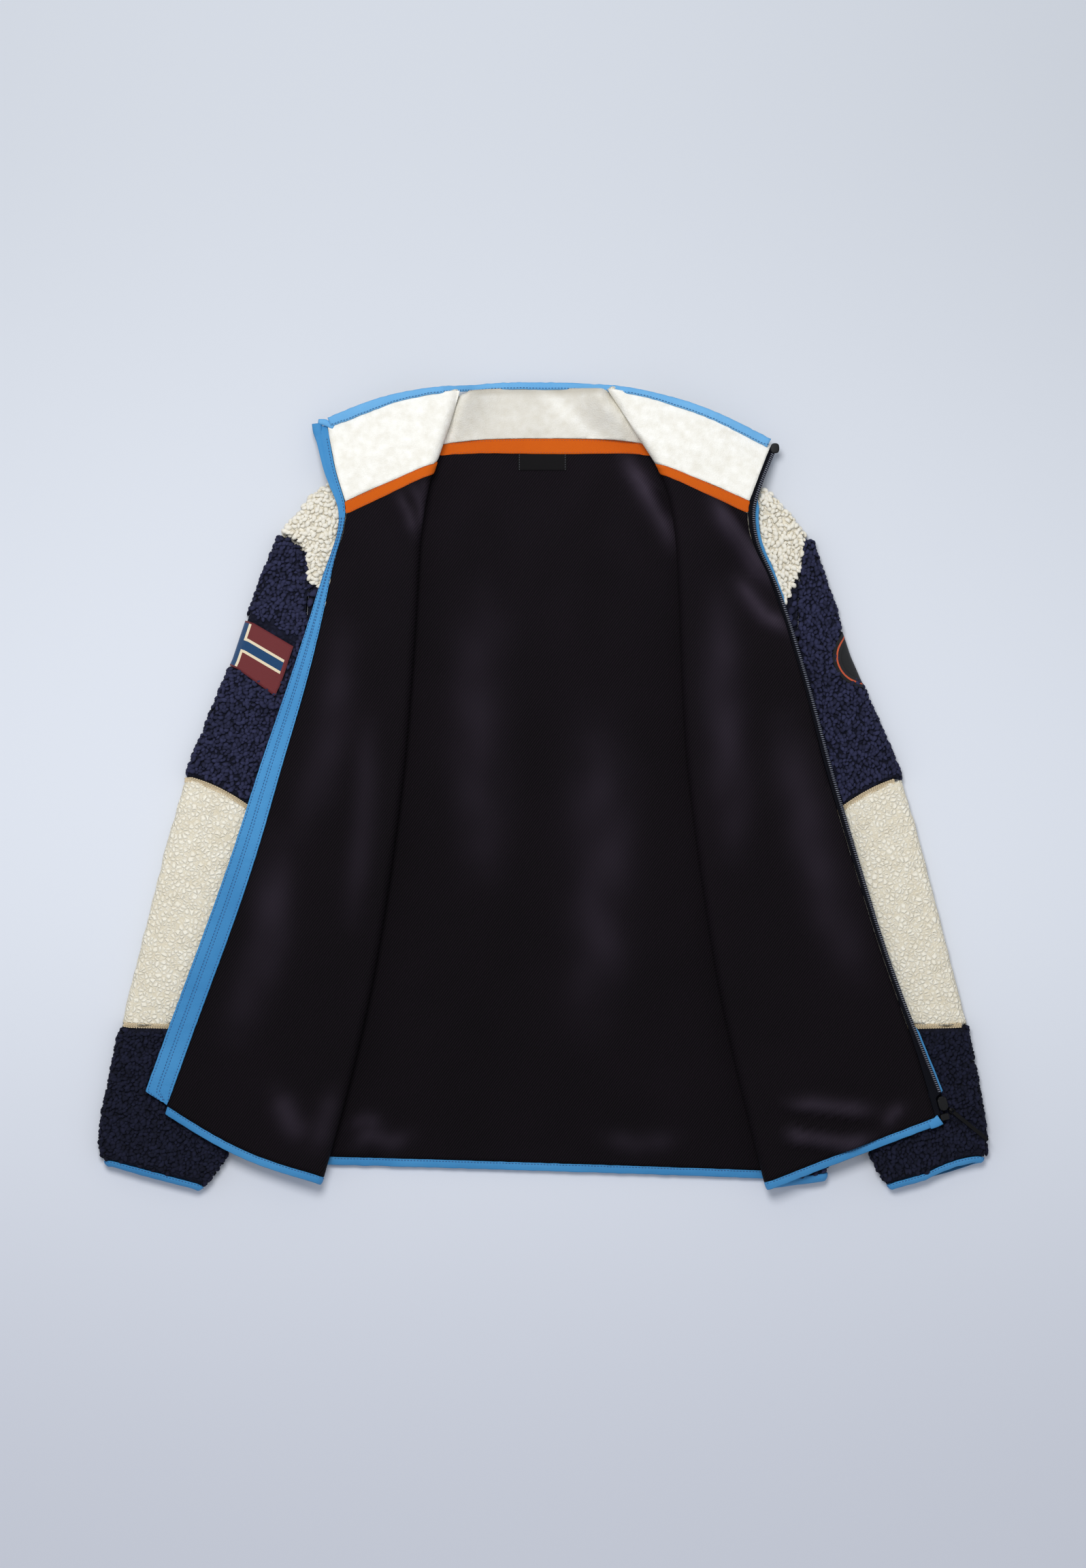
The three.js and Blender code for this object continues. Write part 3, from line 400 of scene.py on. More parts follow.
def pebbled(name, line, dark, light, per_metre, relief):
    """Pile pressed flat: rounded pebbles of curled fibre, and painted shade in the lines between
    them.
    """
    material = fuzzy(name, dark, light, (70, 1300, 0.6), 0.12 * MM, sheen=0.1)
    tree, shader = material.node_tree, shader_of(material)
    tint = shader.inputs["Base Color"].links[0].from_node
    fine = shader.inputs["Normal"].links[0].from_node
    where = new_node(tree, "ShaderNodeTexCoord")
    wander = new_node(tree, "ShaderNodeTexNoise", {"Scale": per_metre * 0.8})
    push = new_node(tree, "ShaderNodeVectorMath", operation="MULTIPLY_ADD")
    push.inputs[1].default_value = (0.9 / per_metre,) * 3
    cells = new_node(tree, "ShaderNodeTexVoronoi", {"Scale": per_metre},
                     feature="DISTANCE_TO_EDGE")
    swell = new_node(tree, "ShaderNodeMapRange", {"From Max": 0.32},
                     interpolation_type="SMOOTHSTEP")
    thin = new_node(tree, "ShaderNodeMapRange", {"From Max": 0.16, "To Min": 0.45})
    mix = new_node(tree, "ShaderNodeMix", {"A": line}, data_type="RGBA")
    bump = new_node(tree, "ShaderNodeBump", {"Distance": relief})
    wire(tree, (where, "Object", wander, "Vector"), (wander, "Color", push, 0),
         (where, "Object", push, 2), (push, "Vector", cells, "Vector"),
         (cells, "Distance", swell, "Value"), (cells, "Distance", thin, "Value"),
         (thin, "Result", mix, "Factor"), (tint, "Result", mix, "B"),
         (mix, "Result", shader, "Base Color"), (swell, "Result", bump, "Height"),
         (fine, "Normal", bump, "Normal"), (bump, "Normal", shader, "Normal"))
    return material


# The first colour of each is painted shade in the fine lines between the pebbles.
cream_pebbles = pebbled("cream_pebbles", linear(196, 182, 150), linear(236, 228, 208),
                        linear(246, 241, 226), 225, 0.9 * MM)
cream_backing = pebbled("cream_backing", linear(206, 195, 168), linear(232, 225, 207),
                        linear(242, 237, 224), 190, 1.4 * MM)
# The navy backing is painted darker than its locks: painted shade in the gaps between them.
navy_backing = pebbled("navy_backing", linear(6, 7, 15), linear(16, 17, 31),
                       linear(27, 29, 48), 200, 1.0 * MM)


def skin(mesh, rings):
    """Joins the rings of a BMesh, lists of as many points each, with a wall of quads."""
    for low, high in zip(rings, rings[1:]):
        for k in range(len(low)):
            after = (k + 1) % len(low)
            mesh.faces.new((low[k], low[after], high[after], high[k]))


def bead_mesh(name, rings, tips, flat=1.0, turn=0.0):
    """A small closed body along X: rings (x, y, z, radius) of six points between two tips."""
    sides = 6
    mesh = bmesh.new()
    loops = [[mesh.verts.new((x, y + r * math.cos(a), z + flat * r * math.sin(a)))
              for a in (np.arange(sides) + turn) * 2 * math.pi / sides] for x, y, z, r in rings]
    front, back = (mesh.verts.new(tip) for tip in tips)
    skin(mesh, loops)
    for k in range(sides):
        mesh.faces.new((loops[-1][k], loops[-1][(k + 1) % sides], front))
        mesh.faces.new((loops[0][(k + 1) % sides], loops[0][k], back))
    bmesh.ops.recalc_face_normals(mesh, faces=mesh.faces)
    return smooth(mesh_from(mesh, name))


# One lock of pile: a plump comma that bends aside and lifts at its tip. Its rise attribute goes
# from 0 in the ground of the pile to 1 at its top: painted shade at the root, painted light on top.
lock_mesh = bead_mesh("lock", ((-0.38, 0.05, -0.02, 0.21), (-0.14, 0.07, 0.10, 0.33),
                               (0.16, 0.03, 0.17, 0.34), (0.39, -0.08, 0.15, 0.22)),
                      ((0.54, -0.20, 0.10), (-0.48, 0.0, -0.08)), flat=0.8, turn=0.5)
set_values(lock_mesh, "rise", [min(1, max(0, (v.co.z + 0.05) / 0.45 + 0.25 * v.co.x))
                               for v in lock_mesh.vertices])
LOCK_POINTS = len(lock_mesh.vertices)
lock = add_object("lock", lock_mesh)


def new_tree(name, inputs):
    """An empty Geometry Nodes tree with these named inputs, and its two end nodes."""
    tree = bpy.data.node_groups.new(name, "GeometryNodeTree")
    tree.interface.new_socket("Geometry", in_out="INPUT", socket_type="NodeSocketGeometry")
    for label, kind in inputs:
        tree.interface.new_socket(label, in_out="INPUT", socket_type="NodeSocket" + kind)
    tree.interface.new_socket("Geometry", in_out="OUTPUT", socket_type="NodeSocketGeometry")
    return tree, new_node(tree, "NodeGroupInput"), new_node(tree, "NodeGroupOutput")


def realized(tree, node, tree_in, tree_out):
    """Ends a tree: the instances or geometry of a node are made real and get the finish."""
    solid = new_node(tree, "GeometryNodeRealizeInstances")
    dye = new_node(tree, "GeometryNodeSetMaterial")
    wire(tree, (node, 0, solid, "Geometry"), (solid, "Geometry", dye, "Geometry"),
         (tree_in, "Finish", dye, "Material"), (dye, "Geometry", tree_out, "Geometry"))


def grown(name, base, tree, values):
    """The plain mesh that a Geometry Nodes tree makes on a base mesh, as a new object."""
    obj = add_object(name, base)
    modifier = obj.modifiers.new("nodes", "NODES")
    modifier.node_group = tree
    for item in tree.interface.items_tree:
        if item.in_out == "INPUT" and item.name in values:
            modifier[item.identifier] = values[item.name]
    plain_mesh(obj)
    return obj


# The pile: locks on scattered points, laid along the flow of the cloth and curled at random.
pile_tree, tree_in, tree_out = new_tree("pile", (
    ("Lock", "Object"), ("Spacing", "Float"), ("Size", "Float"), ("Flow", "Vector"),
    ("Swirl", "Float"), ("Seed", "Int"), ("Finish", "Material")))
scatter = new_node(pile_tree, "GeometryNodeDistributePointsOnFaces", distribute_method="POISSON")
scatter.inputs["Density Max"].default_value = 400000
mask = new_node(pile_tree, "GeometryNodeInputNamedAttribute", {"Name": "pile"})
lie = new_node(pile_tree, "FunctionNodeAlignRotationToVector", axis="X", pivot_axis="Z")
curl = new_node(pile_tree, "FunctionNodeRandomValue", data_type="FLOAT_VECTOR")
least = new_node(pile_tree, "ShaderNodeVectorMath", operation="SCALE")
least.inputs[0].default_value = (-0.35, -0.30, -1)
most = new_node(pile_tree, "ShaderNodeVectorMath", operation="SCALE")
most.inputs[0].default_value = (0.35, 0.12, 1)
to_turn = new_node(pile_tree, "FunctionNodeEulerToRotation")
turn = new_node(pile_tree, "FunctionNodeRotateRotation", rotation_space="LOCAL")
lock_in = new_node(pile_tree, "GeometryNodeObjectInfo")
plant = new_node(pile_tree, "GeometryNodeInstanceOnPoints")
growth = new_node(pile_tree, "FunctionNodeRandomValue", {"Min": 0.75, "Max": 1.3})
scale = new_node(pile_tree, "ShaderNodeMath", operation="MULTIPLY")
shade = new_node(pile_tree, "FunctionNodeRandomValue")
keep = new_node(pile_tree, "GeometryNodeStoreNamedAttribute", domain="INSTANCE")
keep.inputs["Name"].default_value = "tone"
for node, offset in ((curl, 1), (growth, 2), (shade, 3)):
    add_seed = new_node(pile_tree, "ShaderNodeMath")
    add_seed.inputs[1].default_value = offset
    wire(pile_tree, (tree_in, "Seed", add_seed, 0), (add_seed, 0, node, "Seed"))
wire(pile_tree, (tree_in, "Geometry", scatter, "Mesh"), (tree_in, "Seed", scatter, "Seed"),
     (tree_in, "Spacing", scatter, "Distance Min"), (mask, "Attribute", scatter, "Density Factor"),
     (scatter, "Rotation", lie, "Rotation"), (tree_in, "Flow", lie, "Vector"),
     (tree_in, "Swirl", least, "Scale"), (tree_in, "Swirl", most, "Scale"),
     (least, "Vector", curl, "Min"), (most, "Vector", curl, "Max"),
     (curl, "Value", to_turn, "Euler"), (lie, "Rotation", turn, "Rotation"),
     (to_turn, "Rotation", turn, "Rotate By"), (tree_in, "Lock", lock_in, "Object"),
     (scatter, "Points", plant, "Points"), (lock_in, "Geometry", plant, "Instance"),
     (turn, "Rotation", plant, "Rotation"), (growth, 1, scale, 0), (tree_in, "Size", scale, 1),
     (scale, 0, plant, "Scale"), (plant, "Instances", keep, "Geometry"),
     (shade, 1, keep, "Value"))
realized(pile_tree, keep, tree_in, tree_out)


def crossings(obj, axis, at, above=-1.0, below=1.0):
    """Lowest and highest place, on the other flat axis, where the piece crosses a line."""
    points = points_of(obj.data)
    edges = np.empty(len(obj.data.edges) * 2, dtype=int)
    obj.data.edges.foreach_get("vertices", edges)
    a, b = points[edges[0::2]], points[edges[1::2]]
    hit = (a[:, axis] - at) * (b[:, axis] - at) < 0
    a, b = a[hit], b[hit]
    t = ((at - a[:, axis]) / (b[:, axis] - a[:, axis]))[:, None]
    found = a + t * (b - a)
    found = found[(found[:, 2] > above) & (found[:, 2] < below)]
    if not len(found):
        return None
    return found[:, 1 - axis].min(), found[:, 1 - axis].max()


def seam_route(node, high):
    """Where a sleeve's middle ends, across its top: the line along which the blocks are sewn.

    high is whether it is the upper end. The steep parts at the sleeve's edges are left out."""
    low_corner, high_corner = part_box(node)
    route = []
    for x in np.arange(low_corner[0] + 3 * MM, high_corner[0] - 3 * MM, 6 * MM):
        ends = crossings(CAD_NODES[node], 0, x, above=11 * MM)
        if ends is not None:
            route.append((x, ends[1] if high else ends[0]))
    at_edge = np.array(route)
    gentle = np.abs(np.diff(at_edge[:, 1])) < 6 * MM
    return at_edge[np.concatenate((gentle, gentle[-1:]))]


SEAMS = {}
for side in ("left", "right"):
    SEAMS[side + "_elbow"] = seam_route(side + "_sleeve_middle", True)
    SEAMS[side + "_lower"] = seam_route(side + "_sleeve_middle", False)
ELBOW_BOW = 4.5 * MM  # how far an elbow seam bows up in its middle
CUFF_ARCH = 4.4 * MM  # how far the upper edge of the right cuff's opening arches
# Inner and outer X of a front yoke's lower edge, how far each is moved up, and the edge's Y, in
# mm: the right edge slants up strongly below the armhole, the left one a little.
YOKE_EDGES = ((238, 253, -11, 24, 193), (-221, -236, -3, 9, 218))


ELBOWS = (("left", -286 * MM, -352 * MM), ("right", 286 * MM, 352 * MM))  # inner, outer X


def bowed(points, sleeve=True):
    """Bends a sleeve's elbow seam and the right cuff's opening, or slants a yoke's lower edge."""
    points = np.array(points, dtype=float)
    for side, inner, outer in ELBOWS:
        route = SEAMS[side + "_elbow"]
        middle = (inner + outer) / 2
        across = 1 - ((points[:, 0] - middle) / (outer - middle)) ** 2
        seam_y = np.interp(points[:, 0], route[:, 0], route[:, 1])
        fade = np.exp(-(((points[:, 1] - seam_y) / (28 * MM)) ** 2))
        here = (np.sign(points[:, 0]) == np.sign(middle)) & sleeve
        points[:, 1] += np.where(here, ELBOW_BOW * np.clip(across, -0.6, 1) * fade, 0)
    x, y, z = points.T / MM
    if sleeve:
        arch = np.clip(np.sin(math.pi * np.clip((x - 374) / 62, 0, 1)), 0, 1)
        fade = np.clip((-338 - y) / 26, 0, 1) * np.clip(z / 3 - 0.9, 0, 1)
        points[:, 1] += CUFF_ARCH * arch * fade
        return points
    for inner, outer, low, high, edge_y in YOKE_EDGES:
        share = np.clip((x - inner) / (outer - inner), -0.3, 1.3)
        fade = np.exp(-(((points[:, 1] / MM - edge_y) / 26) ** 2))
        here = (np.sign(x) == np.sign(inner)) & (z < 17)
        points[:, 1] += np.where(here, (low + share * (high - low)) * MM * fade, 0)
    return points


def off_seams(points, reach):
    """0 on the bare strips where the colour blocks of a sleeve are sewn together, else 1."""
    keep = np.ones(len(points))
    for route in SEAMS.values():
        keep[along_route(points, route)[0] < reach] = 0
    return keep


SEAM_GAP, PATCH_GAP = 2.6 * MM, 2.7 * MM  # strips beside seams and patches that stay bare


def trimmed(locks):
    """Takes away the locks that hang over a seam or a patch, and presses the rest flat below."""
    points = points_of(locks.data)
    clear = np.ones(len(points), dtype=bool)
    for route in SEAMS.values():
        line = bowed(np.column_stack((route, np.full(len(route), 15 * MM))))[:, :2]
        clear &= along_route(points, line)[0] > SEAM_GAP
    whole = clear.reshape(-1, LOCK_POINTS).all(axis=1)
    patches = tree_of(("flag_patch", "round_patch"))
    for k, middle in enumerate(points.reshape(-1, LOCK_POINTS, 3).mean(axis=1)):
        whole[k] &= patches.find_nearest(Vector(middle), PATCH_GAP)[0] is None
    points[:, 2] = np.maximum(points[:, 2], 0.05 * MM)
    set_points(locks.data, points)
    mesh = bmesh.new()
    mesh.from_mesh(locks.data)
    keep = np.repeat(whole, LOCK_POINTS)
    bmesh.ops.delete(mesh, geom=[v for v, stays in zip(mesh.verts, keep) if not stays],
                     context="VERTS")
    mesh.to_mesh(locks.data)
    mesh.free()


def pressed(points, node):
    """Which points of a piece have others lying on them, on the left and on the right."""
    others = tree_of([n for n in CAD_NODES if n != node])
    return np.array([all(others.ray_cast(Vector(p) + Vector((aside, 0, 0.5 * MM)), UP,
                                         HEAD_ROOM)[0] is not None
                         for aside in (-3.5 * MM, 3.5 * MM)) for p in points])


ARMHOLE_X = 215 * MM  # beyond it a front yoke's pile may touch the sleeve beside it
# How far a wall is drawn in: on a sleeve, on a front yoke, which swells, and elsewhere by PILE;
# more or less, as the cloth is uneven; where it is covered, at a seam, and where it is pressed.
SLEEVE_IN, YOKE_IN, UNEVEN = 0.3 * MM, -0.3 * MM, 0.6 * MM
COVERED_IN, SEAM_IN, PRESSED_IN = 1.0 * MM, 0.9 * MM, 2.4 * MM


def fleece(node, flow, spacing, size, seed, beneath=1.0,
           swirl=0.8):
    """A sherpa panel: its backing wall, drawn in by the pile, and the locks that grow on it.

    beneath is how thick the pile is on the side that lies on the table. Without a spacing the
    pile is pressed flat, and the wall itself has its pebbles."""
    sleeve, front_yoke = "sleeve" in node, "front_yoke" in node
    navy = not any(part in node for part in ("yoke", "middle", "collar"))
    longest = 8 * MM if "upper" in node else 14 * MM if navy and spacing else 6 * MM
    wall = softened(node + "_cloth", [node], 2, longest)
    points, normals = points_of(wall.data), normals_of(wall.data)
    free = open_to_air(points, normals, [node])
    if front_yoke:
        beside = open_to_air(points, normals, [node, node.replace("front_yoke", "sleeve_upper")],
                             0.5 * MM)
        free = np.where(np.abs(points[:, 0]) > ARMHOLE_X, beside, free)
    uneven = noise_on(points, 90)
    drawn_in = SLEEVE_IN if sleeve else YOKE_IN if front_yoke else PILE
    depth = (drawn_in + UNEVEN * uneven) * free
    if sleeve:
        depth = np.where(free > 0, depth, COVERED_IN)
        depth += SEAM_IN * (1 - off_seams(points, 3.6 * MM))
    if not spacing:
        depth -= (0.7 * MM - 0.3 * MM * uneven) * free
        depth[pressed(points, node)] = PRESSED_IN
    points = points - normals * depth[:, None]
    points[:, 2] = np.maximum(points[:, 2], 0)
    bare = off_seams(points, 3.4 * MM)
    if node == "left_sleeve_upper":  # its top is drawn up to the yoke
        away = np.linalg.norm(points[:, :2] - np.array((-262, 239)) * MM, axis=1)
        points[:, :2] += np.exp(-(away / (13 * MM)) ** 2)[:, None] * np.array((3.5, 5)) * MM
    set_points(wall.data, bowed(points, sleeve) if sleeve or "front" in node else points)
    backing, pile = (navy_backing, navy_locks) if navy else (cream_backing, cream_locks)
    clothed(wall, backing if spacing else cream_pebbles)
    pieces = [wall]
    if spacing:
        set_values(wall.data, "pile", free * bare * np.where(normals[:, 2] < -0.3, beneath, 1.0))
        pieces.append(grown(node + "_pile", wall.data.copy(), pile_tree, {
            "Lock": lock, "Spacing": spacing, "Size": size, "Flow": flow, "Swirl": swirl,
            "Seed": seed, "Finish": navy_locks_painted_shade if node.endswith("sleeve_lower") else pile}))
        trimmed(pieces[1])
        wall.data.attributes.remove(wall.data.attributes["pile"])
    for piece in pieces:
        dressed(piece)
    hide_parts(node)


DOWN_BODY = (0, -1, 0)
DOWN_LEFT = (-0.33, -0.94, 0)
DOWN_RIGHT = (0.33, -0.94, 0)
fleece("back_lower", DOWN_BODY, 5.6 * MM, 10 * MM, 1)
fleece("back_yoke", DOWN_BODY, 4.6 * MM, 9 * MM, 2)
fleece("left_front_lower", DOWN_BODY, 5 * MM, 9 * MM, 3)
fleece("right_front_lower", DOWN_BODY, 5 * MM, 9 * MM, 4)
fleece("left_front_yoke", (-0.5, -0.85, 0), 3.4 * MM, 6.6 * MM,
       5, swirl=1.2)
fleece("right_front_yoke", (0.5, -0.85, 0), 3.4 * MM, 6.6 * MM,
       6, swirl=1.2)
fleece("collar_outer", DOWN_BODY, 4.2 * MM, 8 * MM, 7)
for side, flow, cuts in (
        ("left", DOWN_LEFT, ((0.24, 0.2), (0.25, 0.25), (0.28, 0.16))),
        ("right", DOWN_RIGHT, ((0.19, 0.2), (0.23, 0.25), (0.25, 0.16)))):
    for k, (part, cut, spacing) in enumerate(zip(("upper", "middle", "lower"), cuts,
                                                 (2.9 * MM, 0, 2.7 * MM))):
        fleece(f"{side}_sleeve_{part}", flow, spacing, 6.2 * MM,
               10 + 3 * (side == "left") + k, beneath=0.6, swirl=1.1)
bpy.data.objects.remove(lock)

# ---------------------------------------------------------------- linings
# Near-black brushed tricot, sewn in loosely, so that it stands in soft folds where the jacket
# is bent: short pleats under the collar, long ridges on the right front, waves above the hem.
# ridge or trough = (height, half width, points that it passes through), in millimetres.
LEFT_FOLDS = (
    (2.4, 7, ((-144, 288), (-131, 268), (-124, 246))),
    (-1.2, 5, ((-136, 288), (-126, 270), (-121, 250))),
    (2.6, 6, ((-129, 294), (-122, 282), (-118, 270), (-117, 250))),
    (1.8, 5, ((-117, 299), (-112, 278))),
    (1.4, 16, ((-196, 150), (-206, 60), (-232, -40))),
    (1.6, 18, ((-262, -60), (-268, -150), (-300, -240))),
    (1.2, 12, ((-171, 60), (-176, -40), (-188, -130))),
    (1.8, 12, ((-262, -300), (-246, -330), (-231, -345))),
    (1.5, 10, ((-206, -300), (-216, -330), (-221, -352))),
)
BACK_FOLDS = (
    (3.6, 9, ((80, 324), (94, 302), (107, 278), (120, 253), (127, 236))),
    (-0.8, 12, ((113, 296), (120, 262))),
    (1.2, 24, ((-60, 180), (-66, 60), (-58, -80))),
    (1.4, 28, ((52, 60), (60, -80), (48, -220))),
    (1.6, 9, ((-186, -352), (-172, -342), (-150, -350), (-132, -344))),
    (1.4, 7, ((-190, -334), (-176, -326), (-160, -331))),
    (1.2, 10, ((60, -345), (90, -352), (130, -347))),
)
RIGHT_FOLDS = (
    (5.5, 9, ((166, 280), (192, 241), (210, 214), (227, 197))),
    (-1.2, 13, ((176, 286), (205, 246), (222, 222))),
    (3.6, 8, ((189, 203), (204, 181), (216, 166), (239, 154))),
    (1.6, 18, ((170, 190), (176, 60), (188, -60))),
    (1.6, 20, ((236, 60), (262, -60), (300, -180))),
    (-1.4, 10, ((212, -326), (233, -323), (254, -328), (287, -331), (314, -331))),
    (4.2, 9, ((238, -332), (251, -342), (273, -346), (297, -349), (318, -345))),
    (3.0, 8, ((236, -312), (262, -311), (296, -316), (322, -318))),
    (-1.2, 8, ((238, -358), (261, -353), (294, -355))),
    (2.4, 7, ((334, -332), (341, -320), (352, -313))),
)


def fold_height(points, folds):
    """The height of the folds at each point: smooth across, fading out towards both ends."""
    total = np.zeros(len(points))
    for height, half_width, route in folds:
        away, along = along_route(points, np.array(route) * MM)
        fade = np.clip(1.35 * np.sin(math.pi * (0.06 + 0.88 * along)), 0, 1)
        total += height * MM * fade * np.exp(-((away / (half_width * MM)) ** 2))
    return total


# Fine slanting courses of the knit, as a tone and a height.
WAVE_BAND = 0.314  # a wave texture has one band in pi / 10 of its scale
courses, group_in, group_out = shader_group(
    "courses", (("Per metre", 500.0), ("Slant", 0.6), ("Wobble", 1.0)))
place = new_node(courses, "ShaderNodeTexCoord")
turned = new_node(courses, "ShaderNodeVectorRotate", rotation_type="Z_AXIS")
wave = new_node(courses, "ShaderNodeTexWave", {"Detail": 2, "Detail Scale": 3})
stretch = new_node(courses, "ShaderNodeMath", operation="MULTIPLY")
stretch.inputs[1].default_value = WAVE_BAND
soft = new_node(courses, "ShaderNodeTexNoise", {"Scale": 9, "Detail": 5})
wire(courses, (place, "Object", turned, "Vector"), (group_in, "Slant", turned, "Angle"),
     (turned, "Vector", wave, "Vector"), (group_in, "Per metre", stretch, 0),
     (stretch, 0, wave, "Scale"), (group_in, "Wobble", wave, "Distortion"),
     (place, "Object", soft, "Vector"), (soft, "Fac", group_out, "Tone"),
     (wave, "Fac", group_out, "Height"))


def course_node(tree, per_metre, slant, wobble):
    """The courses, so many in a metre, turned by an angle and made uneven, in a material."""
    return new_node(tree, "ShaderNodeGroup", node_tree=courses,
                    values={"Per metre": per_metre, "Slant": slant, "Wobble": wobble})


def woven(name, dark, light, per_metre, slant, wobble, relief, roughness=0.8, sheen=0.2,
          line_share=0.4, specular=0.3):
    """A cloth with fine courses: they darken it by their share, and give it its relief."""
    material = new_material(name, Roughness=roughness, Specular_IOR_Level=specular,
                            Sheen_Weight=sheen, Sheen_Roughness=0.45, Sheen_Tint=light)
    tree, shader = material.node_tree, shader_of(material)
    group = course_node(tree, per_metre, slant, wobble)
    blend = new_node(tree, "ShaderNodeMix", {"Factor": line_share})
    ramp = new_node(tree, "ShaderNodeMapRange", {"From Min": 0.25, "From Max": 0.75})
    mix = new_node(tree, "ShaderNodeMix", {"A": dark, "B": light}, data_type="RGBA")
    bump = new_node(tree, "ShaderNodeBump", {"Strength": 1.0, "Distance": relief})
    wire(tree, (group, "Tone", blend, "A"), (group, "Height", blend, "B"),
         (blend, "Result", ramp, "Value"), (ramp, "Result", mix, "Factor"),
         (mix, "Result", shader, "Base Color"), (group, "Height", bump, "Height"),
         (bump, "Normal", shader, "Normal"))
    return material


def painted_light_over(material, label, color):
    """Lays another colour over a finish, as far as an attribute says: here painted highlight and
    shade.
    """
    tree, shader = material.node_tree, shader_of(material)
    tint = shader.inputs["Base Color"].links[0].from_node
    where = new_node(tree, "ShaderNodeAttribute", attribute_name=label)
    over = new_node(tree, "ShaderNodeMix", {"B": color}, data_type="RGBA")
    wire(tree, (where, "Fac", over, "Factor"), (tint, "Result", over, "A"),
         (over, "Result", shader, "Base Color"))


# Painted highlight: the fold ridges of the brushed side are painted lighter, where light catches
# them.
tricot = woven("brushed_tricot", linear(2, 1, 2), linear(20, 13, 20), 480, 0.62, 1.6, 0.35 * MM,
               roughness=0.8, sheen=0.06, line_share=0.6, specular=0.10)
painted_light_over(tricot, "lining_painted_highlight", linear(58, 50, 62))


def lining(node, folds, lowest):
    """A lining: the thin wall of its node, finely divided, lifted and pressed into its folds."""
    cloth = softened(node + "_cloth", [node], 2, 6.5 * MM)
    points = points_of(cloth.data)
    upper = points[:, 2] > lowest
    lift = fold_height(points, folds)
    swell = noise_over(points, 14, 9, 0.3)
    # Painted highlight: lighter on the fold ridges, and a little towards the upper end, nearer the
    # lamp.
    lining_painted_highlight = 0.75 * np.clip(lift / (3.4 * MM), 0, 1)
    lining_painted_highlight += 0.05 * np.clip((points[:, 1] - 50 * MM) / (250 * MM), 0, 1)
    lining_painted_highlight *= 0.75 + 0.5 * noise_over(points, 30, 22, 5)
    lift = 1.9 * lift + 0.9 * MM * (swell + 0.4)
    points[:, 2] += np.where(upper, np.maximum(lift, -0.2 * MM), 0)
    set_points(cloth.data, points)
    set_values(cloth.data, "lining_painted_highlight", np.clip(lining_painted_highlight, 0, 1))
    clothed(cloth, tricot)
    dressed(cloth, node)


lining("left_front_lining", LEFT_FOLDS, 18 * MM)
lining("back_lining", BACK_FOLDS, 0)
lining("right_front_lining", RIGHT_FOLDS, 18 * MM)

# ---------------------------------------------------------------- collar facing
# Short white pile inside the stand collar. It folds over with each front, in one soft crease
# on each side that runs from the neck seam up to the collar's edge.
white_pile = fuzzy("white_pile", linear(234, 230, 219), linear(248, 246, 239), (120, 900, 0.6),
                   0.9 * MM, sheen=0.1)
# The colour of the facing's painted shade.
painted_light_over(white_pile, "facing_painted_shade", linear(182, 174, 158))
facing = softened("collar_facing", ["collar_inner"], 2, 4 * MM)
points, normals = points_of(facing.data), normals_of(facing.data)
plush = noise_on(points, 160) + 0.6 * noise_on(points, 420)
dents = noise_on(points, 28)
set_points(facing.data, points + normals * (0.2 * MM * plush + 0.8 * MM * dents)[:, None])

# Beside each crease the back of the facing rises to the folded wing, so that no step is left.
LEFT_CREASE = ((-102.5, 321), (-92.5, 342), (-82.5, 380), (-80.5, 391))
RIGHT_CREASE = ((113.5, 322), (94.5, 343), (66.5, 375), (60.5, 382))
points = points_of(facing.data)
surface = tree_of(["collar_inner"])
soft = np.zeros(len(points), dtype=bool)
between = np.ones(len(points))
for crease, side in ((LEFT_CREASE, 1), (RIGHT_CREASE, -1)):
    route = np.array(crease) * MM
    away, along = along_route(points, route)
    line_x = np.interp(points[:, 1], route[:, 1], route[:, 0])
    in_back = (points[:, 0] - line_x) * side > -1.5 * MM
    wing_z, back_z = (
        surface.ray_cast(Vector((*(route[1] + np.array([aside * MM * side, 0])), 0.05)), DOWN)[0].z
        for aside in (-8, 12))
    step_up = wing_z - back_z
    melt = np.clip((along - 0.25) / 0.6, 0, 1)
    below_wing = np.clip((wing_z - points[:, 2]) / step_up, 0, 1)
    rise = step_up * 0.97 * melt * np.exp(-((away / (24 * MM)) ** 2)) * below_wing
    upper_side = points[:, 2] > back_z - 1.2 * MM
    points[:, 2] += np.where(in_back & upper_side, rise, 0)
    soft |= (away < 7 * MM) & upper_side
    between *= np.clip((points[:, 0] - line_x) * side / (9 * MM) + 0.2, 0, 1)
set_points(facing.data, points)

# Painted shade on the facing between the creases, less along a slanting stripe, more at the rolled
# edge.
x, y, z = points.T / MM
slant = np.clip(1 - np.abs(x - 30 + (y - 360) * 1.1) / 16, 0, 1)
rolled = np.clip((y - 383) / 4, 0, 1)
facing_painted_shade = 0.42 + 0.22 * noise_over(points, 26, 40, 7) - 0.3 * slant + 0.4 * rolled
set_values(facing.data, "facing_painted_shade", between * np.clip(facing_painted_shade, 0, 1))
mesh = bmesh.new()
mesh.from_mesh(facing.data)
mesh.verts.ensure_lookup_table()
for _ in range(9):
    bmesh.ops.smooth_vert(mesh, verts=[v for v in mesh.verts if soft[v.index]], factor=0.5,
                          use_axis_x=True, use_axis_y=True, use_axis_z=True)
mesh.to_mesh(facing.data)
mesh.free()
clothed(facing, white_pile)
dressed(facing, "collar_inner")

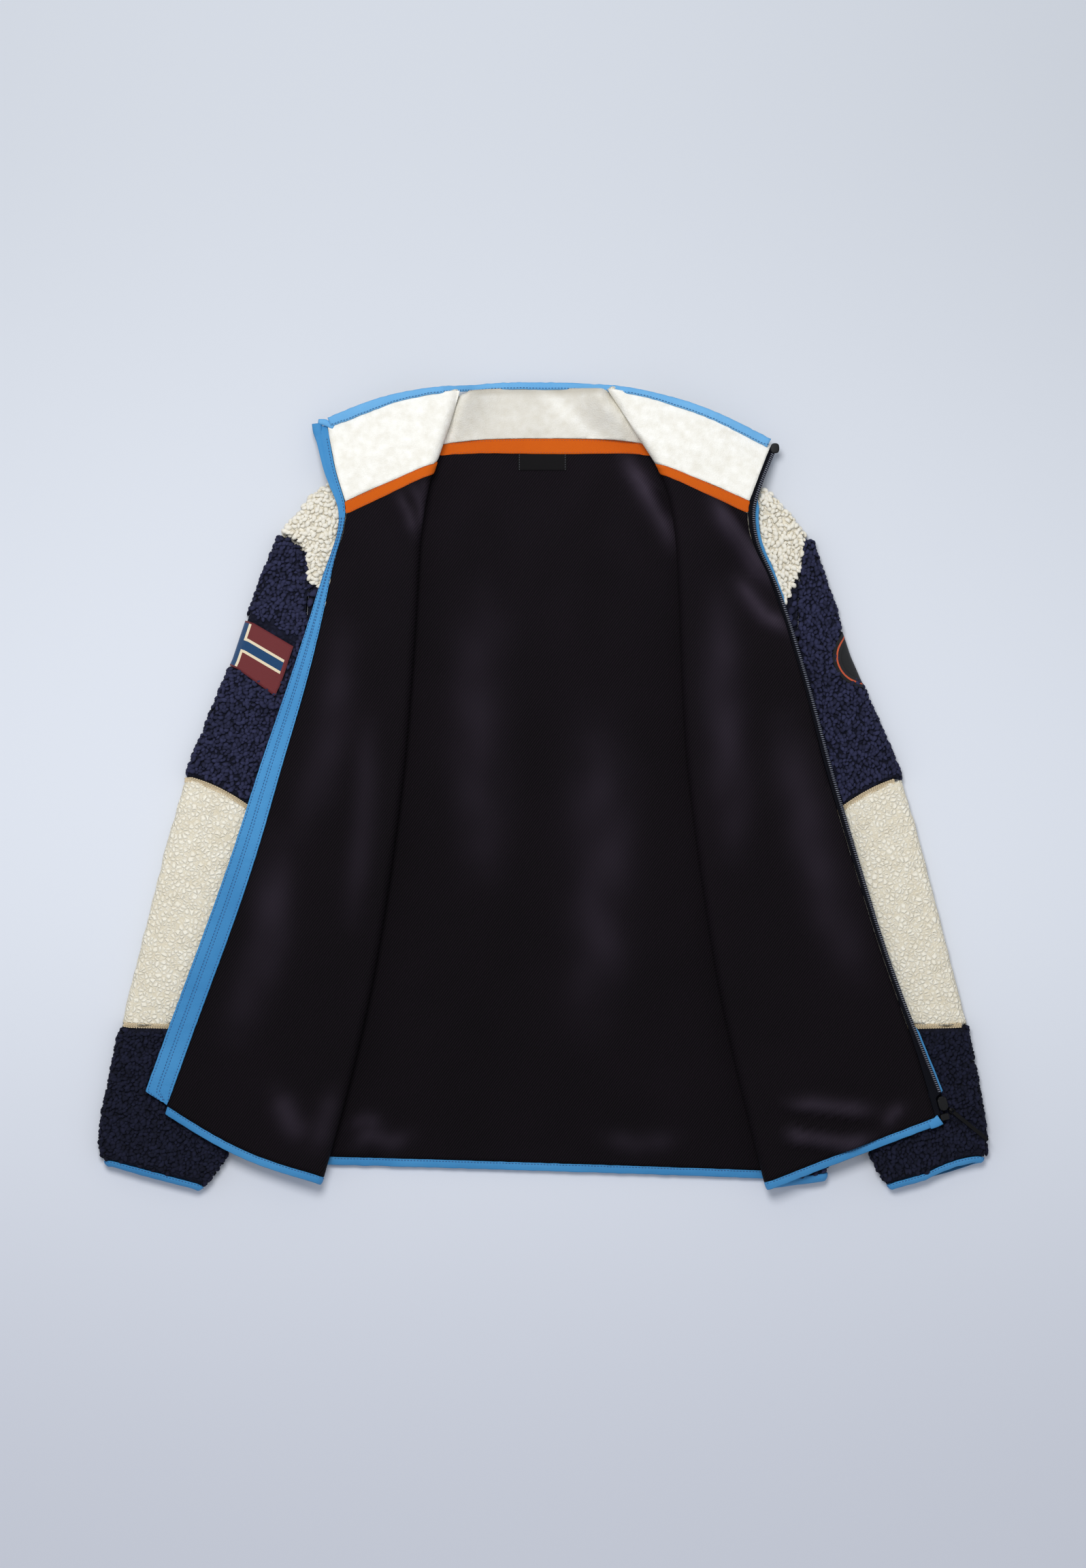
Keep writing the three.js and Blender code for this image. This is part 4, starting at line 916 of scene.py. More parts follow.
# ---------------------------------------------------------------- neck tape
# Orange woven tape over the neck seam, from one front edge to the other, sewn down along both
# of its edges and folded in at its ends.
def trim(node, name, finish, rounds=2, longest=4 * MM, hold=0.55, ripple=0.0, seed=0,
         wider=0.0, raised=0.0):
    """A narrow piece: the softened copy of its node, with the small ripples of sewn tape.

    wider is how far it covers its neighbours on each side, and raised how far it lies on them."""
    piece = softened(name, [node], rounds, longest, hold=hold)
    if wider:
        points, normals = points_of(piece.data), normals_of(piece.data)
        points[:, :2] += normals[:, :2] * wider
        points[:, 2] += raised
        set_points(piece.data, points)
    if ripple:
        points, normals = points_of(piece.data), normals_of(piece.data)
        points = points + normals * (ripple * noise_over(points, 130, 130, seed))[:, None]
        points[:, 2] = np.maximum(points[:, 2], 0.05 * MM)
        set_points(piece.data, points)
    clothed(piece, finish)
    dressed(piece, node)
    return piece


def sewing_line(obj, axis, start, stop, share=None, inset=None, above=-1.0, below=1.0, high=True):
    """Points along a piece's top, at a share of its width or a distance in from one edge.

    The line runs along X or Y, axis 0 or 1, and keeps to the heights between above and below."""
    mesh = bmesh.new()
    mesh.from_mesh(obj.data)
    surface = BVHTree.FromBMesh(mesh)
    mesh.free()
    count = max(2, int(abs(stop - start) / (4 * MM)))
    line = []
    for k in range(count + 1):
        at = start + (stop - start) * k / count
        ends = crossings(obj, axis, at, above, below)
        if ends is None:
            continue
        if share is not None:
            other = ends[0] + share * (ends[1] - ends[0])
        else:
            other = ends[1] - inset if high else ends[0] + inset
        x, y = (at, other) if axis == 0 else (other, at)
        hit = surface.ray_cast(Vector((x, y, min(0.06, below))), DOWN)[0]
        if hit is not None and hit.z > above:
            line.append((x, y, hit.z))
    return line


# Sewing: stitches along the lines of a mesh, at a pitch, each turned a little if need be.
sewing_tree, tree_in, tree_out = new_tree("sewing", (
    ("Stitch", "Object"), ("Pitch", "Float"), ("Size", "Vector"), ("Turn", "Float"),
    ("Finish", "Material")))
to_curve = new_node(sewing_tree, "GeometryNodeMeshToCurve")
places = new_node(sewing_tree, "GeometryNodeCurveToPoints", mode="LENGTH")
follow = new_node(sewing_tree, "FunctionNodeAlignRotationToVector", axis="X", pivot_axis="Z")
across = new_node(sewing_tree, "ShaderNodeCombineXYZ")
aside = new_node(sewing_tree, "FunctionNodeEulerToRotation")
twist = new_node(sewing_tree, "FunctionNodeRotateRotation", rotation_space="LOCAL")
stitch_in = new_node(sewing_tree, "GeometryNodeObjectInfo")
sew = new_node(sewing_tree, "GeometryNodeInstanceOnPoints")
wire(sewing_tree, (tree_in, "Geometry", to_curve, "Mesh"), (to_curve, "Curve", places, "Curve"),
     (tree_in, "Pitch", places, "Length"), (places, "Tangent", follow, "Vector"),
     (tree_in, "Turn", across, "Z"), (across, "Vector", aside, "Euler"),
     (follow, "Rotation", twist, "Rotation"), (aside, "Rotation", twist, "Rotate By"),
     (tree_in, "Stitch", stitch_in, "Object"), (places, "Points", sew, "Points"),
     (stitch_in, "Geometry", sew, "Instance"), (twist, "Rotation", sew, "Rotation"),
     (tree_in, "Size", sew, "Scale"))
realized(sewing_tree, sew, tree_in, tree_out)

# One stitch: a bead, one unit long and one unit wide, that dips at its ends.
stitch = add_object("stitch", bead_mesh(
    "stitch", ((-0.42, 0, -0.15, 0.3), (-0.2, 0, 0.08, 0.48), (0.2, 0, 0.08, 0.48),
               (0.42, 0, -0.15, 0.3)), ((0.5, 0, -0.3), (-0.5, 0, -0.3))))


def rows_mesh(lines):
    """One mesh with an edge path for each line of points."""
    points, edges = [], []
    for line in lines:
        first = len(points)
        points += line
        edges += [(first + k, first + k + 1) for k in range(len(line) - 1)]
    data = bpy.data.meshes.new("rows")
    data.from_pydata(points, edges, [])
    return data


def sewn(name, lines, pitch, size, finish, turn=0.0):
    """Stitches one after the other along lines of points."""
    piece = grown(name, rows_mesh([line for line in lines if len(line) > 1]), sewing_tree, {
        "Stitch": stitch, "Pitch": pitch, "Size": size, "Turn": turn, "Finish": finish})
    dressed(piece)


def thread(name, color):
    """Sewing thread of one colour."""
    return new_material(name, Base_Color=color, Roughness=0.55, Sheen_Weight=0.2)


orange_weave = woven("orange_tape", linear(196, 78, 4), linear(228, 108, 12), 1500, 0.8, 0.6,
                     0.2 * MM, roughness=0.75, sheen=0.0, line_share=0.55, specular=0.2)
orange_thread = thread("orange_thread", linear(176, 74, 12))
tape = trim("neck_tape", "neck_tape_cloth", orange_weave, ripple=0.25 * MM,
            wider=1.6 * MM, raised=0.7 * MM)
FOLDED_HIGH = 18 * MM  # what lies on a folded front lies higher than this
TAPE_ROWS = []
for high in (True, False):
    TAPE_ROWS.append(sewing_line(tape, 0, -90 * MM, 96 * MM, inset=1.4 * MM, below=16 * MM,
                                 high=high))
    for start, stop in ((-188 * MM, -110 * MM), (120 * MM, 196 * MM)):
        TAPE_ROWS.append(sewing_line(tape, 0, start, stop, inset=1.3 * MM, above=FOLDED_HIGH,
                                     high=high))
sewn("neck_tape_stitches", TAPE_ROWS, 2.9 * MM, (2.3 * MM, 0.6 * MM, 0.6 * MM), orange_thread)

# ---------------------------------------------------------------- bindings
# Light blue stretch binding, folded over the raw edges of the hem, the collar and the cuffs and
# sewn through near its inner edge.
blue_weave = woven("blue_binding", linear(40, 120, 178), linear(76, 156, 212), 1700, 0.2, 0.5,
                   0.12 * MM, roughness=0.6, sheen=0.08, line_share=0.3, specular=0.4)
blue_thread = thread("blue_thread", linear(14, 76, 128))
STITCH = (2.3 * MM, 0.85 * MM, 0.7 * MM)
PITCH = 3.1 * MM
BINDINGS = {}
for seed, (node, cut, under) in enumerate((
        ("hem_binding_left_front", (0.165, 0.019), "left_front_lining"),
        ("hem_binding_back", (0.43, 0.018), "table_top"),
        ("hem_binding_right_front", (0.18, 0.019), "right_front_lining"),
        ("left_cuff_binding", (0.105, 0.021), "table_top"),
        ("right_cuff_binding", (0.1, 0.021), "table_top"))):
    BINDINGS[node] = trim(node, node + "_cloth", blue_weave, ripple=0.45 * MM,
                          seed=seed)
    if "cuff" in node:
        set_points(BINDINGS[node].data, bowed(points_of(BINDINGS[node].data)))
hem_rows = [
    sewing_line(BINDINGS["hem_binding_left_front"], 0, -366 * MM, -216 * MM, inset=1.4 * MM,
                above=FOLDED_HIGH),
    sewing_line(BINDINGS["hem_binding_back"], 0, -205 * MM, 212 * MM, inset=1.4 * MM,
                below=14 * MM),
    sewing_line(BINDINGS["hem_binding_right_front"], 0, 219 * MM, 384 * MM, inset=1.4 * MM,
                above=FOLDED_HIGH),
]
sewn("hem_stitches", hem_rows, PITCH, STITCH, blue_thread)

# The collar's binding, edge and width in mm, follows the upper edge of its solid.
edge = [(x, crossings(CAD_NODES["collar_binding"], 0, x)) for x in np.arange(-212, 224, 3) * MM]
COLLAR_EDGE = np.array([(x / MM, ends[1] / MM) for x, ends in edge if ends is not None])
COLLAR_EDGE[4:-4, 1] = np.convolve(COLLAR_EDGE[:, 1], np.ones(9) / 9, "valid")
COLLAR_WIDTHS = np.interp(COLLAR_EDGE[:, 0], (-212, -196, -165, -150, -110, -78, 0, 60, 98, 130,
                                              190, 206, 222),
                          (9, 10.5, 10, 8.5, 7, 6.5, 7.2, 7, 6.5, 8.2, 8.8, 9.2, 9))


def capped_mesh(name, mesh, rings):
    """The smooth mesh of a BMesh's rings, joined by a wall and closed at both ends."""
    skin(mesh, rings)
    mesh.faces.new(rings[0])
    mesh.faces.new(list(reversed(rings[-1])))
    bmesh.ops.recalc_face_normals(mesh, faces=mesh.faces)
    return smooth(mesh_from(mesh, name))


def band(name, route, widths, thick, finish, over, ripple):
    """A soft folded band: it starts at a route in mm and reaches inward by the widths given."""
    sides = 12
    route, widths = np.array(route) * MM, np.array(widths) * MM
    lengths = distances(route)
    at = np.arange(0, lengths[-1], 2.2 * MM)
    x, y = (np.interp(at, lengths, route[:, k]) for k in (0, 1))
    wide = np.interp(at, lengths, widths)
    for values in (x, y, wide):
        values[2:-2] = np.convolve(values, np.ones(5) / 5, "valid")
    ahead = np.gradient(np.column_stack((x, y)), axis=0)
    ahead /= np.linalg.norm(ahead, axis=1)[:, None]
    inward = np.column_stack((ahead[:, 1], -ahead[:, 0]))
    heights = np.zeros(len(at))
    surface = tree_of(over)
    for i in range(len(at)):
        place = np.array([x[i], y[i]]) + inward[i] * (wide[i] + 2.5 * MM)
        hit = surface.ray_cast(Vector((*place, 0.06)), DOWN)[0]
        heights[i] = hit.z if hit is not None else heights[i - 1]
    heights[7:-7] = np.convolve(heights, np.ones(15) / 15, "valid")
    mesh = bmesh.new()
    rings = []
    for i in range(len(at)):
        ring = []
        for a in np.arange(sides) * 2 * math.pi / sides:
            reach = wide[i] * (0.5 - 0.5 * math.cos(a))
            pucker = ripple * noise.noise(Vector((at[i] * 190, reach * 60, a * 0.2)))
            bulge = thick * (0.5 + 0.5 * abs(math.sin(a)) ** 0.6 * math.copysign(1, math.sin(a)))
            place = np.array([x[i], y[i]]) + inward[i] * (reach + pucker * math.cos(a))
            ring.append(mesh.verts.new((*place, heights[i] - 0.35 * thick + bulge + pucker)))
        rings.append(ring)
    return add_object(name, capped_mesh(name, mesh, rings), finish)


# Painted light: a lighter copy of the blue binding for the collar's edge and the guard's top fold,
# nearest the lamp.
painted_light_weave = woven("blue_binding_painted_light", linear(78, 152, 208), linear(120, 186, 234), 1700, 0.2,
                    0.5, 0.12 * MM, roughness=0.6, sheen=0.08, line_share=0.3, specular=0.4)
collar_band = band("collar_binding_cloth", COLLAR_EDGE, COLLAR_WIDTHS, 3 * MM, painted_light_weave,
                   ("collar_inner", "collar_outer"), 0.6 * MM)
dressed(collar_band, "collar_binding")


def drawn_back(data, gap):
    """Keeps the collar's cloth, apart from its two ends, inside the edge that the binding has."""
    points = points_of(data)
    edge_y = np.interp(points[:, 0], COLLAR_EDGE[:, 0] * MM, COLLAR_EDGE[:, 1] * MM)
    points[:, 1] = np.where(np.abs(points[:, 0]) < 170 * MM,
                            np.minimum(points[:, 1], edge_y - gap), points[:, 1])
    set_points(data, points)


for name in ("collar_outer_cloth", "collar_outer_pile"):
    drawn_back(bpy.data.objects[name].data, 1.5 * MM)
# The facing is pressed down where the band lies on it.
points = points_of(facing.data)
edge_y = np.interp(points[:, 0], COLLAR_EDGE[:, 0] * MM, COLLAR_EDGE[:, 1] * MM)
wide = np.interp(points[:, 0], COLLAR_EDGE[:, 0] * MM, COLLAR_WIDTHS * MM)
under_band = np.clip((points[:, 1] - (edge_y - wide + 1.2 * MM)) / (2 * MM), 0, 1)
points[:, 2] -= 2.4 * MM * under_band * (points[:, 2] > 9 * MM)
set_points(facing.data, points)
drawn_back(facing.data, 2 * MM)

collar_row = sewing_line(collar_band, 0, -207 * MM, 219 * MM, inset=1.5 * MM, high=False)
sewn("collar_binding_stitches", [collar_row], PITCH, STITCH, blue_thread)
cuff_rows = [
    sewing_line(BINDINGS["left_cuff_binding"], 0, -430 * MM, -335 * MM, inset=1.3 * MM),
    sewing_line(BINDINGS["right_cuff_binding"], 0, 338 * MM, 431 * MM, inset=1.3 * MM),
]
sewn("cuff_stitches", cuff_rows, PITCH, STITCH, blue_thread)

# ---------------------------------------------------------------- zip guard
# The left front edge: a doubled light blue guard in two bands, with a line of stitches at its
# outer edge, at the join of the bands and near its inner edge, puckered a little by them.
guard = trim("zip_guard", "zip_guard_cloth", blue_weave, rounds=3, longest=3 * MM,
             hold=0.6)


def edges_along(obj, start, stop):
    """Where lines across the jacket, from start to stop mm, meet a piece: rows (Y, low, high X)."""
    found = [(at, crossings(obj, 1, at)) for at in np.arange(start, stop, 6) * MM]
    return np.array([(at, *ends) for at, ends in found if ends])


points, normals = points_of(guard.data), normals_of(guard.data)
at_y, outer_x, inner_x = edges_along(guard, -318, 356).T
low_x, high_x = np.interp(points[:, 1], at_y, outer_x), np.interp(points[:, 1], at_y, inner_x)
width = high_x - low_x
share = (points[:, 0] - low_x) / np.maximum(width, 2 * MM)
groove = np.zeros(len(points))
for line, deep in ((0.46, 0.7), (0.90, 0.4), (0.08, 0.4)):
    groove -= deep * MM * np.exp(-(((share - line) * width / (1.3 * MM)) ** 2))
pucker = np.array([noise.noise(Vector((p[0] * 40 + p[1] * 15, p[1] * 210, 3))) for p in points])
set_points(guard.data, points + normals * (groove + 0.28 * MM * pucker)[:, None])
guard_rows = [sewing_line(guard, 1, -306 * MM, 262 * MM, share=line)
              for line in (0.085, 0.40, 0.52, 0.90)]
guard_rows.append(sewing_line(guard, 1, 270 * MM, 340 * MM, share=0.8))
sewn("guard_stitches", guard_rows, PITCH, STITCH, blue_thread)


def tube(name, route, radii, finish, flat=0.7, hollow=0):
    """A soft tube of binding along points in mm, flattened in height.

    hollow is how many of its sections go back inside, to cup its first end."""
    sides = 14
    route = np.array(route) * MM
    lengths = distances(route)
    at = np.linspace(0, lengths[-1], max(8, int(lengths[-1] / (2 * MM))))
    line = np.column_stack([np.interp(at, lengths, route[:, k]) for k in range(3)])
    line[1:-1] = (line[:-2] + line[1:-1] + line[2:]) / 3
    radius = np.interp(at, lengths, np.array(radii) * MM)
    ahead = np.gradient(line, axis=0)
    ahead /= np.linalg.norm(ahead, axis=1)[:, None]
    side = np.column_stack((ahead[:, 1], -ahead[:, 0], np.zeros(len(at))))
    side /= np.linalg.norm(side, axis=1)[:, None]
    up = np.cross(side, ahead)
    sections = [(i, radius[i]) for i in range(len(at))]
    if hollow:
        sections = [(i, radius[i] * 0.62) for i in range(hollow, -1, -1)] + sections
    mesh = bmesh.new()
    rings = [[mesh.verts.new(line[i] + side[i] * r * math.cos(a) + up[i] * r * flat * math.sin(a))
              for a in np.arange(sides) * 2 * math.pi / sides] for i, r in sections]
    dressed(add_object(name, capped_mesh(name, mesh, rings), finish))


# The guard's upper end is rolled over behind the tip of the collar, open like a short tube.
tube("guard_roll", ((-222.5, 356, 13), (-222, 349, 13), (-219, 338, 13), (-213, 322, 14),
                    (-208, 306, 15)), (5.2, 4.8, 3.8, 3.2, 2.2), blue_weave, flat=0.75, hollow=4)
# Its top fold is painted lighter, in the same copy of the binding.
tube("guard_top_fold", ((-221, 358, 15.5), (-214, 357, 16.5), (-206, 352, 17)), (2.4, 3.4, 2.2),
     painted_light_weave, flat=0.6)
# The back edge of the open right cuff, in painted shade, and the binding's folded end beside the
# zip.
# A darker copy of the blue binding: painted shade inside the open cuff.
painted_shade_weave = woven("blue_binding_painted_shade", linear(14, 62, 96), linear(34, 92, 132), 1700, 0.2, 0.5,
                     0.12 * MM, roughness=0.7, sheen=0.05, line_share=0.3, specular=0.2)
tube("right_cuff_back_edge", ((374, -383, 3.4), (384, -380.4, 4.2), (395, -377.2, 4.6),
                              (407, -373.4, 4.8), (419, -369.4, 4.8), (427, -366.2, 5)),
     (1.8, 2.6, 2.9, 2.9, 2.8, 2.4), painted_shade_weave)
tube("hem_end_tab", ((377, -332, 22.6), (382.5, -329, 22.8), (387.5, -325.5, 22.8)),
     (3.3, 4.6, 5.4), blue_weave, flat=0.28)

# ---------------------------------------------------------------- zip
# A coil zip on black woven tape. The right half shows: tape, the coil sewn along its edge, and
# the light blue edging behind it. The left half lies under the guard.
black_weave = woven("zip_tape", linear(4, 4, 8), linear(17, 18, 27), 1200, 1.2, 0.4,
                    0.2 * MM, roughness=0.85, sheen=0.0, line_share=0.6, specular=0.12)
# The coil's grey is lighter than the black coil: painted highlight for its glints, besides its
# gloss.
coil_finish = new_material("coil", Base_Color=linear(84, 88, 102), Roughness=0.2,
                           Specular_IOR_Level=0.9)
edging = trim("zip_edging_right", "zip_edging_cloth", blue_weave, ripple=0.2 * MM)
# The edging's inner side dips under the tape. It shows at the upper end of the zip and beside
# the hem, it lies hidden between them, and it is tucked in at the top.
points = points_of(edging.data)
at_y, inner_x, outer_x = edges_along(edging, -320, 340).T
inside = np.interp(points[:, 1], at_y, outer_x) - points[:, 0]
y = points[:, 1] / MM
points[:, 2] -= 1.4 * MM * np.clip((inside - 3 * MM) / (1.5 * MM), 0, 1)
points[:, 0] += 2.6 * MM * np.clip((inside - 5.5 * MM) / (1.5 * MM), 0, 1)
tucked = np.clip((y - 272) / 14, 0, 1)
hidden = np.clip((186 - y) / 16, 0, 1) * np.clip((y + 240) / 10, 0, 1)
showing = np.clip((y - 200) / 18, 0, 1) * (1 - tucked)
points[:, 0] -= 3.6 * MM * hidden * np.clip(1 - inside / (6 * MM), 0, 1)
points[:, 0] += (1.8 * showing - 3.6 * tucked) * MM
points[:, 2] -= (1.4 * hidden + 1.2 * tucked) * MM
set_points(edging.data, points)
trim("zip_tape_left", "zip_tape_left_cloth", black_weave)
trim("zip_tape_right", "zip_tape_right_cloth", black_weave, ripple=0.15 * MM)
coil_base = trim("zip_teeth", "zip_coil_base", black_weave, hold=0.2)
coil_line = sewing_line(coil_base, 1, -302 * MM, 331 * MM, share=0.5)
points = points_of(coil_base.data)
points[:, 2] -= 0.9 * MM
set_points(coil_base.data, points)
COIL_PITCH = 2.1 * MM
coil_line = [(x, y, z - 0.1 * MM) for x, y, z in coil_line]
thread_line = [(x - 0.9 * MM, y, z + 0.5 * MM) for x, y, z in coil_line]
sewn("zip_coil", [coil_line], COIL_PITCH, (3.8 * MM, 1.3 * MM, 1.7 * MM), coil_finish,
     turn=math.radians(80))
sewn("zip_coil_thread", [thread_line], COIL_PITCH, (1.7 * MM, 0.5 * MM, 0.5 * MM),
     thread("coil_thread", linear(20, 22, 30)))

# ---------------------------------------------------------------- slider, pull and stops
# Dark coated metal slider at the bottom of the right edge, the retainer box under it, and a
# flat rubber-coated pull that hangs from the slider's bail and lies on the cuff.
coated = new_material("coated_metal", Base_Color=linear(5, 5, 7), Roughness=0.55,
                      Specular_IOR_Level=0.25)
tree = coated.node_tree
place = new_node(tree, "ShaderNodeTexCoord")
grain = new_node(tree, "ShaderNodeTexNoise", {"Scale": 1800})
bump = new_node(tree, "ShaderNodeBump", {"Distance": 0.05 * MM})
wire(tree, (place, "Object", grain, "Vector"), (grain, "Fac", bump, "Height"),
     (bump, "Normal", shader_of(coated), "Normal"))
HARD = {node: trim(node, node + "_body", coated, rounds=3, longest=1, hold=hold)
        for node, hold in (("zip_slider", 0.0), ("zip_box", 0.2), ("pull_bail", 0.0),
                           ("zip_top_stop", 0.2))}

# The slider narrows towards its two ends.
points = points_of(HARD["zip_slider"].data)
middle = (points.min(axis=0) + points.max(axis=0)) / 2
long_way = np.linalg.svd((points - middle)[:, :2], full_matrices=False)[2][0]
out = (points - middle)[:, :2] @ long_way
side = (points - middle)[:, :2] - out[:, None] * long_way
end = np.clip(np.abs(out) / np.abs(out).max(), 0, 1)
points[:, :2] -= side * (0.45 * end ** 4)[:, None]
set_points(HARD["zip_slider"].data, points)

# The top stop: the dark end of the zip beside the collar's edge, larger than its solid.
STOP_PLACE, STOP_SIZE, STOP_LIFT = np.array((226.3, 331.5)), np.array((8.5, 10)), 0.6 * MM
points = points_of(HARD["zip_top_stop"].data)
low, high = points.min(axis=0), points.max(axis=0)
share = (points - (low + high) / 2)[:, :2] / (high - low)[:2]
points[:, :2] = (STOP_PLACE + share * STOP_SIZE) * MM
points[:, 2] += STOP_LIFT
set_points(HARD["zip_top_stop"].data, points)

# The pull is narrower than its solid beyond the hinge, and a little shorter.
PULL_HINGE = np.array((398.1, -316.4)) * MM
PULL_ACROSS, PULL_ALONG = np.array((0.629, 0.777)), np.array((0.777, -0.629))
PULL_NARROW, PULL_SHORT = 0.62, 0.95
rubber = new_material("pull_rubber", Base_Color=linear(5, 5, 7), Roughness=0.75,
                      Specular_IOR_Level=0.2)
pull = softened("zip_pull_strap", ["zip_pull"], 2, 4 * MM, hold=0.5)
points = points_of(pull.data)
flat_part = points[:, :2] - PULL_HINGE
wide, far = flat_part @ PULL_ACROSS, flat_part @ PULL_ALONG
narrow = np.where(far > 4 * MM, PULL_NARROW, 1)
points[:, :2] = (PULL_HINGE + (wide * narrow)[:, None] * PULL_ACROSS
                 + (far * PULL_SHORT)[:, None] * PULL_ALONG)
set_points(pull.data, points)
clothed(pull, rubber)
dressed(pull, "zip_pull", body="pull")

# ---------------------------------------------------------------- label
# A plain black woven label below the neck tape, sewn down at its two ends.
label_weave = woven("label_weave", linear(5, 4, 5), linear(17, 15, 17), 1600, 0.0, 0.3,
                    0.15 * MM, roughness=0.7, sheen=0.0, specular=0.15)
trim("neck_label", "neck_label_cloth", label_weave, hold=0.9)
label_low, label_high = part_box("neck_label")
ends = [[(x, y, label_high[2]) for y in np.linspace(label_low[1] + MM, label_high[1] - MM, 5)]
        for x in (label_low[0] + 1.5 * MM, label_high[0] - 1.5 * MM)]
sewn("label_stitches", ends, 2.2 * MM, (1.6 * MM, 0.5 * MM, 0.5 * MM),
     thread("label_thread", linear(70, 70, 78)))

# ---------------------------------------------------------------- sleeve patches
# Two patches lie on the upper sleeves and go round their outer edges: on the left an embroidered
# flag with a satin border, on the right a charcoal disc with an orange ring in a black rim.
SLEEVE_THICK, PATCH_LIFT, PATCH_THICK = 15 * MM, 1.3 * MM, 0.9 * MM


def wrapped(line, along, around, lift, turn=0.0):
    """The place on a sleeve at a distance down its outer edge and round it.

    around is 0 where the flat top ends, negative on the top and positive over the edge."""
    line = np.array(line) * MM
    reached = distances(line)

    def on_edge(at):
        return np.array([np.interp(at, reached, line[:, k]) for k in (0, 1)])

    down = on_edge(along + 9 * MM) - on_edge(along - 9 * MM)
    down /= np.linalg.norm(down)
    side = -1 if line[0, 0] < 0 else 1
    inward = np.array([down[1], -down[0]]) * side
    radius = SLEEVE_THICK / 2 + lift
    centre = on_edge(along) + inward * SLEEVE_THICK / 2
    quarter = math.pi * radius / 2
    if around <= 0:
        spin = math.radians(turn)
        way = np.array([inward[0] * math.cos(spin) - inward[1] * math.sin(spin),
                        inward[0] * math.sin(spin) + inward[1] * math.cos(spin)])
        return (*(centre - way * around), SLEEVE_THICK + lift)
    if around < 2 * quarter:
        a = math.pi / 2 - around / radius
        return (*(centre - inward * radius * math.cos(a)), SLEEVE_THICK / 2 + radius * math.sin(a))
    return (*(centre + inward * (around - 2 * quarter)), 0.3 * MM)


def patch(name, node, places, finish):
    """A thin patch: a grid of (u, v, place) rows, made a closed wall with its own UV map."""
    mesh = bmesh.new()
    uv = mesh.loops.layers.uv.new("cloth")
    rows = [[(mesh.verts.new(p), (u, v)) for u, v, p in row] for row in places]
    for low, high in zip(rows, rows[1:]):
        for k in range(len(low) - 1):
            corners = (low[k], low[k + 1], high[k + 1], high[k])
            face = mesh.faces.new([c[0] for c in corners])
            for loop, corner in zip(face.loops, corners):
                loop[uv].uv = corner[1]
    bmesh.ops.recalc_face_normals(mesh, faces=mesh.faces)
    if sum(f.normal.z * f.calc_area() for f in mesh.faces if f.calc_center_median().z > 0.01) < 0:
        bmesh.ops.reverse_faces(mesh, faces=mesh.faces)
    obj = add_object(name, smooth(mesh_from(mesh, name)), finish)
    modifier = obj.modifiers.new("thickness", "SOLIDIFY")
    modifier.thickness = PATCH_THICK
    modifier.offset = 1
    plain_mesh(obj)
    points = points_of(obj.data)
    points[:, 2] = np.maximum(points[:, 2], 0.1 * MM)
    set_points(obj.data, points)
    dressed(obj, node)


def banded(name, bands, roughness=0.45):
    """Embroidery: colours laid over each other by masks of the patch's own UV map.

    bands = list of (colour, function that returns a mask socket)."""
    material = new_material(name, Roughness=roughness, Sheen_Weight=0.05, Specular_IOR_Level=0.3)
    tree, shader = material.node_tree, shader_of(material)
    where = new_node(tree, "ShaderNodeUVMap", uv_map="cloth")
    split = new_node(tree, "ShaderNodeSeparateXYZ")
    wire(tree, (where, "UV", split, "Vector"))

    def step(kind, a, b):
        node = new_node(tree, "ShaderNodeMath", operation=kind)
        for socket, value in zip(node.inputs, (a, b)):
            if isinstance(value, (int, float)):
                socket.default_value = value
            else:
                tree.links.new(value, socket)
        return node.outputs[0]

    color = new_node(tree, "ShaderNodeRGB").outputs[0]
    color.default_value = bands[0][0]
    for tint, mask_of in bands[1:]:
        mix = new_node(tree, "ShaderNodeMix", {"B": tint}, data_type="RGBA")
        tree.links.new(mask_of(step, split.outputs["X"], split.outputs["Y"]), mix.inputs["Factor"])
        tree.links.new(color, mix.inputs["A"])
        color = mix.outputs["Result"]
    tree.links.new(color, shader.inputs["Base Color"])
    group = course_node(tree, 1400, 0.35, 0.4)
    bump = new_node(tree, "ShaderNodeBump", {"Distance": 0.2 * MM})
    wire(tree, (group, "Height", bump, "Height"), (bump, "Normal", shader, "Normal"))
    return material


# The flag's UV map is in millimetres: u down the sleeve, v from its inner end round the edge.
FLAG_LONG, FLAG_ROUND, FLAG_OVER = 47, 62, 17
BAR, BAR_CREAM, CROSS_AT, CROSS_CREAM, RIM = 4.6, 7.2, 53.5, 7.0, 1.8


def near(step, value, middle, reach):
    """The mask of a strip: 1 within reach of its middle."""
    return step("LESS_THAN", step("ABSOLUTE", step("SUBTRACT", value, middle), 0), reach)


def both(step, a, b):
    return step("MULTIPLY", a, b)


def arms(half_bar, half_cross):
    """The mask of a lying cross: a bar along v and a bar across it near the sleeve's edge."""
    def mask(step, u, v):
        bar = both(step, near(step, u, FLAG_LONG / 2, half_bar), step("GREATER_THAN", v, 4.2))
        return step("MAXIMUM", bar, near(step, v, CROSS_AT, half_cross))
    return mask


def satin_rim(step, u, v):
    """The mask of the flag's border."""
    inside = both(step, near(step, u, FLAG_LONG / 2, FLAG_LONG / 2 - RIM),
                  near(step, v, FLAG_ROUND / 2, FLAG_ROUND / 2 - RIM))
    return step("SUBTRACT", 1, inside)


